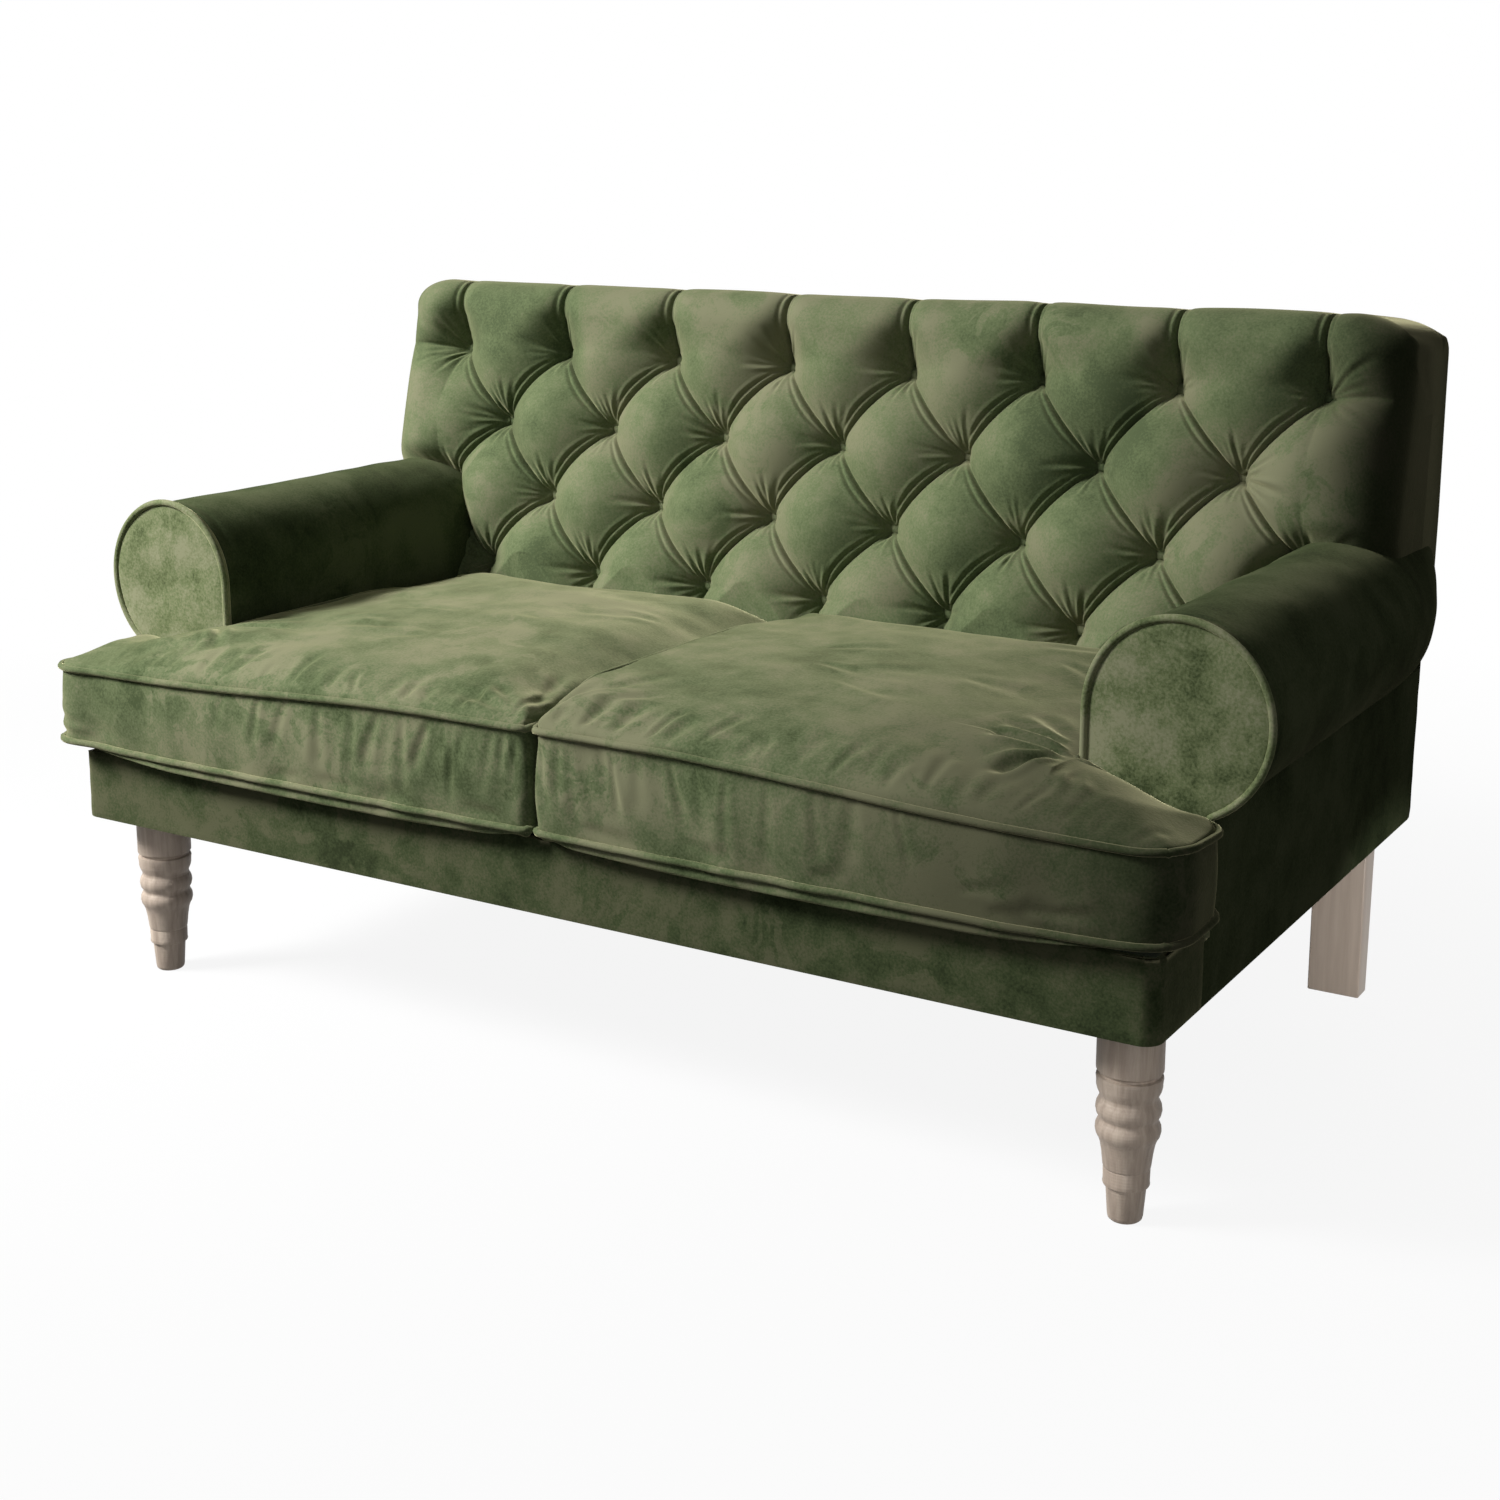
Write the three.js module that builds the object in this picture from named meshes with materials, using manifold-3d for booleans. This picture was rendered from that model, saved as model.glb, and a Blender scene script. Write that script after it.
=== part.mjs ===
// A two-seat chesterfield sofa with rolled arms, a raked buttoned back, two loose T-shaped
// seat cushions, turned front legs and plain square rear legs.
// Millimetres, +Z up. The origin is on the floor under the middle of the bounding box,
// +X is to the right of someone who looks at the front, and the front faces -Y.

import * as THREE from 'three';
import { mergeVertices } from 'three/addons/utils/BufferGeometryUtils.js';
import Module from 'manifold-3d';

const wasm = await Module();
wasm.setup();

// Whole sofa
const sofaDepth = 960;
const backHeight = 904;
const bodyWidth = 1514;
const fit = 0.3;
const overrun = 40;

// Legs
const legHeight = 230;
const frontLegInset = 56;
const frontLegSetBack = 98;
const frontLegRadius = 35.5;
const rearLegInset = 61.5;
const rearLegMargin = 124;
const rearLegWidth = 69;
const rearLegDepth = 42;
const rearLegFootDepth = 34;
const legBoltRadius = 4;
const legBoltInLeg = 40;
const legBoltInFrame = 50;
const legSides = 16;
const boltSides = 12;

// Outline of a turned leg from the floor up, as shares of its radius and its height
const turnedLegShares = [
  [0.5, 0], [0.56, 0.02], [0.6, 0.16], [0.68, 0.172], [0.68, 0.255], [0.72, 0.27],
  [0.8, 0.365], [0.94, 0.4], [0.975, 0.44], [0.86, 0.492], [0.975, 0.545], [0.86, 0.605],
  [0.97, 0.65], [1, 0.695], [0.9, 0.712], [1, 0.73], [1, 1],
];

// Timber base
const dustCoverThickness = 2;
const railHeight = 68;
const railThickness = 28;
const rearSeatRailGap = 5.5;
const braceWidth = 60;
const braceDrop = 10;
const tenonThickness = 12;
const tenonLength = 14;
const tenonShoulder = 12;
const cornerBlockWidth = 80;
const frontCornerBlockDepth = 114;
const rearCornerBlockDepth = 78;

// Covers of the base and the back
const cushionOverhang = 20;
const coverDrop = 2;
const coverThickness = 8;
const borderThickness = 12;
const borderCornerRound = 22;
const outsideBackThickness = 6;
const outsideBackInset = 10;
const outsideBackDrop = 46;
const rearLean = 24;
const rearLeanDrop = 264;

// Seat suspension and deck
const clipStripThickness = 1.5;
const clipStripWidth = 20;
const springCount = 6;
const springStripMargin = 17;
const springWireRadius = 2;
const springHalfWidth = 25;
const springBendPitch = 50;
const springStepsPerBend = 4;
const deckThickness = 12.7;

// Arms
const armSetBack = 148;
const armWidth = 201;
const armOverhang = 61;
const armRollLift = 231.4;
const armRollHalfHeight = 105;
const armTaperRun = 263;
const armTaperRadius = 714;
const armRearRound = 26;
const armRearWall = 28;
const armPadThickness = 20;
const armFormerThickness = 3;
const facingThickness = 12;
const scrollBoardThickness = 22;
const armBoardDrop = 128;
const armPostWidth = 34;
const armPostDepth = 40;
const armArcSteps = 22;
const armTaperShares = [0, 0.4, 0.72];

// Back
const backRake = 13.7;
const tuftInset = 260;
const tuftMidDrop = 304;
const backOverhang = 7;
const buttonColumns = 8;
const buttonEndMargin = 92;
const buttonRowSpacing = 103.9;
const topButtonDrop = 101;
const buttonRows = 4;
const tuftCrown = 52;
const pleatDepthShare = 0.58;
const lastPleatShare = 3.38;
const plainEndShare = 3.8;
const backPadThickness = 97;
const backPadOverRail = 54;
const backSideRound = 50;
const sideRoundShares = [0.28, 0.1, 0];
const backCornerRound = 48;
const backTopFrontRound = 58;
const backTopRearRound = 42;
const backRearCornerRound = 30;
const backLowerTuck = 34;
const strapThickness = 2.5;
const strapWidth = 60;
const strapPlaceShares = [-0.8, -0.3, 0.3, 0.8];
const strapEndMargin = 4;
const backPostWidth = 34;
const backPostDepth = 45;
const backLowerRailLift = 44.4;
const backRailWidth = 42;
const tackRailWidth = 58;
const centrePostWidth = 32;
const centrePostRecess = 8;

// Seat cushions
const cushionRearMargin = 340;
const cushionSideHeight = 102;
const cushionCrown = 75;
const cushionUnderCrown = 15;
const cushionMiddleRise = 20;
const cushionMiddleFlat = 146;
const cushionMiddleReach = 636;
const cushionBehindRise = 45;
const cushionBehindReach = 140;
const cushionEarDrop = 38;
const cushionEarCrownDrop = 43;
const cushionEarFallBefore = 25;
const cushionEarFallReach = 130;
const cushionRearDrop = 20;
const cushionRearDropReach = 200;
const cushionUnderReach = 60;
const cushionCrownReach = 210;
const cushionRearReach = 70;
const cushionEarOverhang = 21;
const cushionEarClearance = 3;
const cushionSideClearance = 4;
const cushionMiddleGap = 4;
const cushionCornerRound = 40;
const cushionPullIn = 7;
const cushionWaist = 5;
const cushionWrap = 13;
const cushionCoreClearance = 0.6;
const zipOpeningHeight = 8;
const zipEndMargin = 60;
const cushionAcrossShares = [0, 0.07, 0.18, 0.34, 0.5, 0.66, 0.82, 0.93, 1];
const cushionBehindEarShares = [0.14, 0.34, 0.54, 0.74, 0.9, 1];
const cushionEarShares = [0.4, 0.78, 1];
const cushionEarDepthShares = [0, 0.25, 0.62, 1];

// Finishes
const velvet = new THREE.MeshStandardMaterial({ color: 0x5b6a45, roughness: 0.9 });
const velvetDark = new THREE.MeshStandardMaterial({ color: 0x3c4a2e, roughness: 0.9 });
const weatheredOak = new THREE.MeshStandardMaterial({ color: 0x8f8078, roughness: 0.65 });
const pine = new THREE.MeshStandardMaterial({ color: 0xc9a878, roughness: 0.8 });
const fibreboard = new THREE.MeshStandardMaterial({ color: 0x8a6f50, roughness: 0.85 });
const steel = new THREE.MeshStandardMaterial({ color: 0x8c8f92, roughness: 0.35, metalness: 1 });
const webbing = new THREE.MeshStandardMaterial({ color: 0x3a3a38, roughness: 0.9 });
const deckCloth = new THREE.MeshStandardMaterial({ color: 0x3f4a33, roughness: 0.95 });
const blackCloth = new THREE.MeshStandardMaterial({ color: 0x1c1c1c, roughness: 0.95 });
const foam = new THREE.MeshStandardMaterial({ color: 0xe6dcc0, roughness: 0.95 });

// Places that several pieces share
const frontY = -sofaDepth / 2;
const rearY = sofaDepth / 2;
const bodyHalf = bodyWidth / 2;
const backHalf = bodyHalf + backOverhang;
const openingHalf = bodyHalf + armOverhang - armWidth;
const coverBottom = legHeight - coverDrop;
const frameBottom = legHeight + fit + dustCoverThickness + fit;
const railTop = frameBottom + railHeight;
const borderFrontY = frontY + cushionOverhang;
const railFrontY = borderFrontY + borderThickness + fit;
const railRearY = railFrontY + railThickness;
const sideRailOuter = bodyHalf - coverThickness - fit;
const sideRailInner = sideRailOuter - railThickness;
const frameHalf = sideRailInner - fit;
const springBase = railTop + fit + clipStripThickness + fit;
const deckBottom = springBase + 2 * springWireRadius + fit;
const deckTop = deckBottom + deckThickness;
const armFrontY = frontY + armSetBack;
const scrollFrontY = armFrontY + facingThickness + fit;
const armPostFrontY = scrollFrontY + scrollBoardThickness + fit;
const armRollHalfWidth = armWidth / 2;
const armRollX = openingHalf + armRollHalfWidth;
const armRollCentreHeight = railTop + armRollLift;
const armBoardHeight = armRollCentreHeight - armBoardDrop;
const armFoot = railTop + fit;
const neckX = bodyHalf - coverThickness;
const strapFront = backPadThickness + fit;
const postFront = strapFront + strapThickness + fit;
const topButtonHeight = backHeight - topButtonDrop;
const cavityTop = backHeight - backPadOverRail;
const cushionRearY = rearY - cushionRearMargin;
const cushionFoot = deckTop + fit;
const cushionLowSeam = cushionFoot + cushionUnderCrown;
const cushionTopSeam = cushionLowSeam + cushionSideHeight;

// The rake of the back: how far up the slope and how far behind the buttons a point lies
const rakeAngle = THREE.MathUtils.degToRad(backRake);
const rakeSine = Math.sin(rakeAngle);
const rakeCosine = Math.cos(rakeAngle);
const tuftMidY = rearY - tuftInset;
const tuftMidHeight = backHeight - tuftMidDrop;
const buttonSpacing = (2 * backHalf - 2 * buttonEndMargin) / (buttonColumns - 1);
const rearLeanTop = backHeight - rearLeanDrop;
const outsideBackTop = backHeight - outsideBackDrop;

function tuftPlaneY(height) {
  return tuftMidY + (height - tuftMidHeight) * Math.tan(rakeAngle);
}

function raked(along, behind) {
  const y = tuftMidY + along * rakeSine + behind * rakeCosine;
  const z = tuftMidHeight + along * rakeCosine - behind * rakeSine;
  return [y, z];
}

function alongAt(height, behind) {
  return (height - tuftMidHeight + behind * rakeSine) / rakeCosine;
}

const postFootY = raked(alongAt(frameBottom, postFront), postFront)[0];
const rearSeatRailY = postFootY - rearSeatRailGap - railThickness;

function rearLineY(height) {
  const below = Math.max(0, rearLeanTop - height);
  return rearY - rearLean * below / (rearLeanTop - coverBottom);
}

function backingY(height) {
  return rearLineY(height) - outsideBackThickness - fit;
}

// Closed solids from three.js geometry
function signedVolume(corners, faces) {
  const a = new THREE.Vector3();
  const b = new THREE.Vector3();
  const c = new THREE.Vector3();
  let total = 0;
  for (let f = 0; f < faces.length; f += 3) {
    a.fromArray(corners, 3 * faces[f]);
    b.fromArray(corners, 3 * faces[f + 1]);
    c.fromArray(corners, 3 * faces[f + 2]);
    total += a.dot(b.cross(c));
  }
  return total;
}

function closedMesh(corners, faces) {
  const vertProperties = Float32Array.from(corners);
  const triVerts = Uint32Array.from(faces);
  if (signedVolume(vertProperties, triVerts) < 0) triVerts.reverse();
  return new wasm.Manifold(new wasm.Mesh({ numProp: 3, vertProperties, triVerts }));
}

function solid(geometry) {
  const bare = geometry.clone();
  bare.deleteAttribute('normal');
  bare.deleteAttribute('uv');
  const merged = mergeVertices(bare);
  const index = merged.index.array;
  const faces = [];
  for (let f = 0; f < index.length; f += 3) {
    const [a, b, c] = [index[f], index[f + 1], index[f + 2]];
    if (a !== b && b !== c && c !== a) faces.push(a, b, c);
  }
  return closedMesh(merged.getAttribute('position').array, faces);
}

function block([x0, x1], [y0, y1], [z0, z1]) {
  const box = new THREE.BoxGeometry(Math.abs(x1 - x0), Math.abs(y1 - y0), Math.abs(z1 - z0));
  box.translate((x0 + x1) / 2, (y0 + y1) / 2, (z0 + z1) / 2);
  return solid(box);
}

const axisX = new THREE.Vector3(1, 0, 0);
const axisY = new THREE.Vector3(0, 1, 0);
const axisZ = new THREE.Vector3(0, 0, 1);
const outlineTurns = {
  x: [axisY, axisZ, axisX],
  y: [axisX, axisZ, axisY],
  z: [axisX, axisY, axisZ],
};

// An outline pushed along one axis. The outline's two numbers are the other two axes.
function prism(outline, along, from, to) {
  const shape = new THREE.Shape(outline.map(([a, b]) => new THREE.Vector2(a, b)));
  const depth = Math.abs(to - from);
  const body = new THREE.ExtrudeGeometry(shape, { depth, bevelEnabled: false });
  body.translate(0, 0, Math.min(from, to));
  body.applyMatrix4(new THREE.Matrix4().makeBasis(...outlineTurns[along]));
  return solid(body);
}

// A skin over rings of equal count, closed across each end ring from its middle
function loft(rings) {
  const count = rings[0].length;
  const faces = [];
  for (let ring = 0; ring + 1 < rings.length; ring++) {
    for (let i = 0; i < count; i++) {
      const a = ring * count + i;
      const b = ring * count + (i + 1) % count;
      faces.push(a, b, b + count, a, b + count, a + count);
    }
  }
  const corners = rings.flat();
  for (const last of [false, true]) {
    const ring = last ? rings.at(-1) : rings[0];
    const first = last ? (rings.length - 1) * count : 0;
    const middle = corners.length;
    corners.push([0, 1, 2].map((k) => ring.reduce((sum, point) => sum + point[k], 0) / count));
    for (let i = 0; i < count; i++) {
      const [a, b] = [first + i, first + (i + 1) % count];
      faces.push(...(last ? [a, b, middle] : [b, a, middle]));
    }
  }
  return closedMesh(corners.flat(), faces);
}

function upright(radius, [x, y], [z0, z1], sides) {
  const rod = new THREE.CylinderGeometry(radius, radius, z1 - z0, sides);
  rod.rotateX(Math.PI / 2);
  rod.translate(x, y, (z0 + z1) / 2);
  return solid(rod);
}

function rakedBlock(x0, x1, [along0, along1], [behind0, behind1]) {
  const outline = [
    raked(along0, behind0),
    raked(along1, behind0),
    raked(along1, behind1),
    raked(along0, behind1),
  ];
  return prism(outline, 'x', x0, x1);
}

const grown = ([low, high]) => [Math.min(low, high) - fit, Math.max(low, high) + fit];

// Scene graph
const sofa = new THREE.Group();
const base = new THREE.Group();
const arms = new THREE.Group();
const back = new THREE.Group();
const seat = new THREE.Group();
sofa.add(base, arms, back, seat);

function piece(group, name, body, finish) {
  const { vertProperties, triVerts } = body.getMesh();
  const geometry = new THREE.BufferGeometry();
  geometry.setAttribute('position', new THREE.BufferAttribute(vertProperties, 3));
  geometry.setIndex(new THREE.BufferAttribute(triVerts, 1));
  geometry.computeVertexNormals();
  const mesh = new THREE.Mesh(geometry, finish);
  mesh.name = name;
  group.add(mesh);
}

const sides = [['left', -1], ['right', 1]];

// Legs and the bolts that hold them
const frontLegX = bodyHalf - frontLegInset;
const frontLegY = frontY + frontLegSetBack;
const rearLegX = bodyHalf - rearLegInset;
const rearLegFrontY = rearY - rearLegMargin;
const rearLegY = rearLegFrontY + rearLegDepth / 2;
const boreRadius = legBoltRadius + fit;
const boreBottom = legHeight - legBoltInLeg - fit;
const boltSpan = [legHeight - legBoltInLeg, legHeight + legBoltInFrame];

function turnedLeg(side) {
  const outline = turnedLegShares.map(([r, h]) => [r * frontLegRadius, h * legHeight]);
  const bore = [[boreRadius, legHeight], [boreRadius, boreBottom], [0, boreBottom]];
  const profile = [[0, 0], ...outline, ...bore].map(([r, h]) => new THREE.Vector2(r, h));
  const turned = new THREE.LatheGeometry(profile, legSides);
  turned.rotateX(Math.PI / 2);
  turned.translate(side * frontLegX, frontLegY, 0);
  return solid(turned);
}

function squareLeg(side) {
  const x0 = side * rearLegX - rearLegWidth / 2;
  const outline = [
    [rearLegFrontY, 0],
    [rearLegFrontY + rearLegFootDepth, 0],
    [rearLegFrontY + rearLegDepth, legHeight],
    [rearLegFrontY, legHeight],
  ];
  const bore = upright(boreRadius, [side * rearLegX, rearLegY],
    [boreBottom, legHeight + overrun], boltSides);
  return prism(outline, 'x', x0, x0 + rearLegWidth).subtract(bore);
}

function boltHole([x, y]) {
  return upright(boreRadius, [x, y], [frameBottom - overrun, boltSpan[1] + fit], boltSides);
}

for (const [name, side] of sides) {
  const frontPlace = [side * frontLegX, frontLegY];
  const rearPlace = [side * rearLegX, rearLegY];
  piece(base, `front_leg_${name}`, turnedLeg(side), weatheredOak);
  piece(base, `rear_leg_${name}`, squareLeg(side), weatheredOak);
  piece(base, `front_leg_bolt_${name}`, upright(legBoltRadius, frontPlace, boltSpan, boltSides),
    steel);
  piece(base, `rear_leg_bolt_${name}`, upright(legBoltRadius, rearPlace, boltSpan, boltSides),
    steel);
}

// Timber base frame, tenoned together
const railSpan = [frameBottom, railTop];
const tenonHeight = [frameBottom + tenonShoulder, railTop - tenonShoulder];
const backRailFrontY = backingY(frameBottom) - railThickness;
const sideRailX = (sideRailOuter + sideRailInner) / 2;
const endTenonX = (side) => [
  side * sideRailX - tenonThickness / 2,
  side * sideRailX + tenonThickness / 2,
];
const braceTenonX = [-braceWidth / 2 + tenonShoulder, braceWidth / 2 - tenonShoulder];
const braceTenonHeight = [tenonHeight[0], tenonHeight[1] - braceDrop];
const frontTenonY = [railRearY - tenonLength, railRearY + railThickness];
const backTenonY = [backRailFrontY - railThickness, backRailFrontY + tenonLength];
const seatRailSpanY = [rearSeatRailY, rearSeatRailY + railThickness];
const seatRailTenonY = [rearSeatRailY + railThickness / 2 - tenonThickness / 2,
  rearSeatRailY + railThickness / 2 + tenonThickness / 2];
const seatRailTenonX = (side) => [
  side * (frameHalf - railThickness),
  side * (sideRailInner + tenonLength),
];
const braceRearTenonY = [rearSeatRailY - railThickness, rearSeatRailY + tenonLength];

let frontRail = block([-sideRailOuter, sideRailOuter], [railFrontY, railRearY], railSpan);
let backRail = prism([
  [backRailFrontY, frameBottom],
  [backingY(frameBottom), frameBottom],
  [backingY(railTop), railTop],
  [backRailFrontY, railTop],
], 'x', -sideRailOuter, sideRailOuter);
let rearSeatRail = block([-frameHalf, frameHalf], seatRailSpanY, railSpan);
for (const [name, side] of sides) {
  const tenonX = endTenonX(side);
  const seatTenonX = seatRailTenonX(side);
  const rail = block([side * sideRailInner, side * sideRailOuter],
    [railRearY + fit, backRailFrontY - fit], railSpan)
    .add(block(tenonX, frontTenonY, tenonHeight))
    .add(block(tenonX, backTenonY, tenonHeight))
    .subtract(block(grown(seatTenonX), grown(seatRailTenonY), grown(tenonHeight)));
  piece(base, `side_rail_${name}`, rail, pine);
  frontRail = frontRail.subtract(block(grown(tenonX), grown(frontTenonY), grown(tenonHeight)));
  backRail = backRail.subtract(block(grown(tenonX), grown(backTenonY), grown(tenonHeight)));
  rearSeatRail = rearSeatRail.add(block(seatTenonX, seatRailTenonY, tenonHeight));
}
const braceTenons = [frontTenonY, braceRearTenonY];
const brace = braceTenons.reduce(
  (body, tenonY) => body.add(block(braceTenonX, tenonY, braceTenonHeight)),
  block([-braceWidth / 2, braceWidth / 2], [railRearY + fit, rearSeatRailY - fit],
    [frameBottom, railTop - braceDrop]),
);
const braceMortise = (tenonY) => block(grown(braceTenonX), grown(tenonY), grown(braceTenonHeight));
piece(base, 'front_rail', frontRail.subtract(braceMortise(frontTenonY)), pine);
piece(base, 'rear_seat_rail', rearSeatRail.subtract(braceMortise(braceRearTenonY)), pine);
piece(base, 'back_rail', backRail, pine);
piece(base, 'centre_brace', brace, pine);

// Corner blocks that take the leg bolts
for (const [name, side] of sides) {
  const blockX = [side * frameHalf, side * (frameHalf - cornerBlockWidth)];
  const frontBlockY = [railRearY + fit, railRearY + fit + frontCornerBlockDepth];
  const rearBlockY = [backRailFrontY - fit - rearCornerBlockDepth, backRailFrontY - fit];
  piece(base, `front_corner_block_${name}`,
    block(blockX, frontBlockY, railSpan).subtract(boltHole([side * frontLegX, frontLegY])), pine);
  piece(base, `rear_corner_block_${name}`,
    block(blockX, rearBlockY, railSpan).subtract(boltHole([side * rearLegX, rearLegY])), pine);
}

// Dust cover under the frame
let dustCover = block([-sideRailOuter, sideRailOuter], [railFrontY, backingY(coverBottom)],
  [legHeight + fit, legHeight + fit + dustCoverThickness]);
for (const [, side] of sides) {
  dustCover = dustCover
    .subtract(boltHole([side * frontLegX, frontLegY]))
    .subtract(boltHole([side * rearLegX, rearLegY]));
}
piece(base, 'dust_cover', dustCover, blackCloth);

// Front border, which turns both front corners and runs back to the arms
function borderOutline() {
  const outline = [];
  const corner = borderCornerRound;
  for (const side of [-1, 1]) {
    const turn = [0, 30, 60, 90].map((degrees) => THREE.MathUtils.degToRad(degrees));
    const arc = turn.map((angle) => [
      side * (bodyHalf - corner + corner * Math.cos(angle)),
      borderFrontY + corner - corner * Math.sin(angle),
    ]);
    outline.push(...(side < 0 ? arc : arc.reverse()));
  }
  const end = armFrontY - fit;
  return [
    [-bodyHalf, end], ...outline, [bodyHalf, end], [neckX, end],
    [neckX, borderFrontY + borderThickness], [-neckX, borderFrontY + borderThickness],
    [-neckX, end],
  ];
}
piece(base, 'front_border', prism(borderOutline(), 'z', coverBottom, deckTop), velvet);

// Seat springs on their clip strips, and the deck over them
const frontStripY = [railRearY - clipStripWidth, railRearY];
const rearStripY = [rearSeatRailY, rearSeatRailY + clipStripWidth];
const stripHeight = [railTop + fit, railTop + fit + clipStripThickness];
const stripX = [-openingHalf + springStripMargin, openingHalf - springStripMargin];
const springSpacing = (stripX[1] - stripX[0]) / springCount;
piece(seat, 'front_spring_clip_strip', block(stripX, frontStripY, stripHeight), steel);
piece(seat, 'rear_spring_clip_strip', block(stripX, rearStripY, stripHeight), steel);

class SinuousWire extends THREE.Curve {
  constructor(x, fromY, toY, height) {
    super();
    this.place = { x, fromY, toY, height };
    this.bends = 2 * Math.round((toY - fromY) / (2 * springBendPitch));
  }

  getPoint(t, target = new THREE.Vector3()) {
    const { x, fromY, toY, height } = this.place;
    const sway = springHalfWidth * Math.sin(Math.PI * this.bends * t);
    return target.set(x + sway, fromY + t * (toY - fromY), height);
  }
}

function seatSpring(x) {
  const wire = new SinuousWire(x, frontStripY[0], rearStripY[1], springBase + springWireRadius);
  const section = new THREE.Shape();
  section.moveTo(springWireRadius, 0);
  section.lineTo(0, springWireRadius);
  section.lineTo(-springWireRadius, 0);
  section.lineTo(0, -springWireRadius);
  const steps = wire.bends * springStepsPerBend;
  return solid(new THREE.ExtrudeGeometry(section, { steps, extrudePath: wire }));
}

for (let i = 0; i < springCount; i++) {
  const x = (i - (springCount - 1) / 2) * springSpacing;
  piece(seat, `seat_spring_${i + 1}`, seatSpring(x), steel);
}

const deckEarHalf = neckX - fit;
const deckOutline = [
  [-deckEarHalf, railFrontY],
  [deckEarHalf, railFrontY],
  [deckEarHalf, armFrontY - fit],
  [openingHalf - fit, armFrontY - fit],
  [openingHalf - fit, rearSeatRailY + railThickness],
  [-openingHalf + fit, rearSeatRailY + railThickness],
  [-openingHalf + fit, armFrontY - fit],
  [-deckEarHalf, armFrontY - fit],
];
piece(seat, 'seat_deck', prism(deckOutline, 'z', deckBottom, deckTop), deckCloth);

// Arms. Seen from the front an arm is a straight inner side, the roll, and the roll's
// neck above the side panel at x = neck.
function armOutline(inset, foot, neck) {
  const halfWidth = armRollHalfWidth - inset;
  const halfHeight = armRollHalfHeight - inset;
  const end = -Math.acos((neck - armRollX) / halfWidth);
  const points = [[armRollX - halfWidth, foot]];
  for (let i = 0; i <= armArcSteps; i++) {
    const angle = Math.PI + (end - Math.PI) * i / armArcSteps;
    points.push([
      armRollX + halfWidth * Math.cos(angle),
      armRollCentreHeight + halfHeight * Math.sin(angle),
    ]);
  }
  points.push([neck, foot]);
  return points;
}

function rollBottomAt(x) {
  const share = (x - armRollX) / armRollHalfWidth;
  return armRollCentreHeight - armRollHalfHeight * Math.sqrt(1 - share * share);
}

const sidePanelTop = rollBottomAt(neckX) - fit;
const armRearY = backingY(sidePanelTop) - 2 * fit;
const armTaperY = armRearY - armTaperRun;

// The outer side of the roll draws in towards the rear
function armRing(side, y, inset, foot) {
  const run = Math.max(0, y - armTaperY);
  const drawnIn = run * run / (2 * armTaperRadius);
  const reach = armRollX + armRollHalfWidth - inset - neckX;
  return armOutline(inset, foot, neckX).map(([x, z]) => {
    const beyond = Math.max(0, x - neckX);
    return [side * (x - drawnIn * beyond / reach), y, z];
  });
}

function armRun(fromY, toY) {
  const between = armTaperShares.map((share) => armTaperY + share * (toY - armTaperY));
  return [fromY, ...between, toY];
}

function armBody(side, inset, fromY, toY, foot) {
  return loft(armRun(fromY, toY).map((y) => armRing(side, y, inset, foot)));
}

function roundedArmBody(side) {
  const straight = armRun(scrollFrontY, armRearY - armRearRound);
  const rings = straight.map((y) => armRing(side, y, 0, armFoot));
  for (const degrees of [35, 65, 90]) {
    const angle = THREE.MathUtils.degToRad(degrees);
    const y = armRearY - armRearRound + armRearRound * Math.sin(angle);
    rings.push(armRing(side, y, armRearRound * (1 - Math.cos(angle)), armFoot));
  }
  return loft(rings);
}

// Room for the timber of the back, open to the rear
function backCavity(halfWidth) {
  const low = frameBottom - overrun;
  const outline = [
    raked(alongAt(low, backPadThickness), backPadThickness),
    raked(alongAt(cavityTop, backPadThickness), backPadThickness),
    [rearY + overrun, cavityTop],
    [rearY + overrun, low],
  ];
  return prism(outline, 'x', -halfWidth, halfWidth);
}
const cavity = backCavity(sideRailInner);

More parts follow.
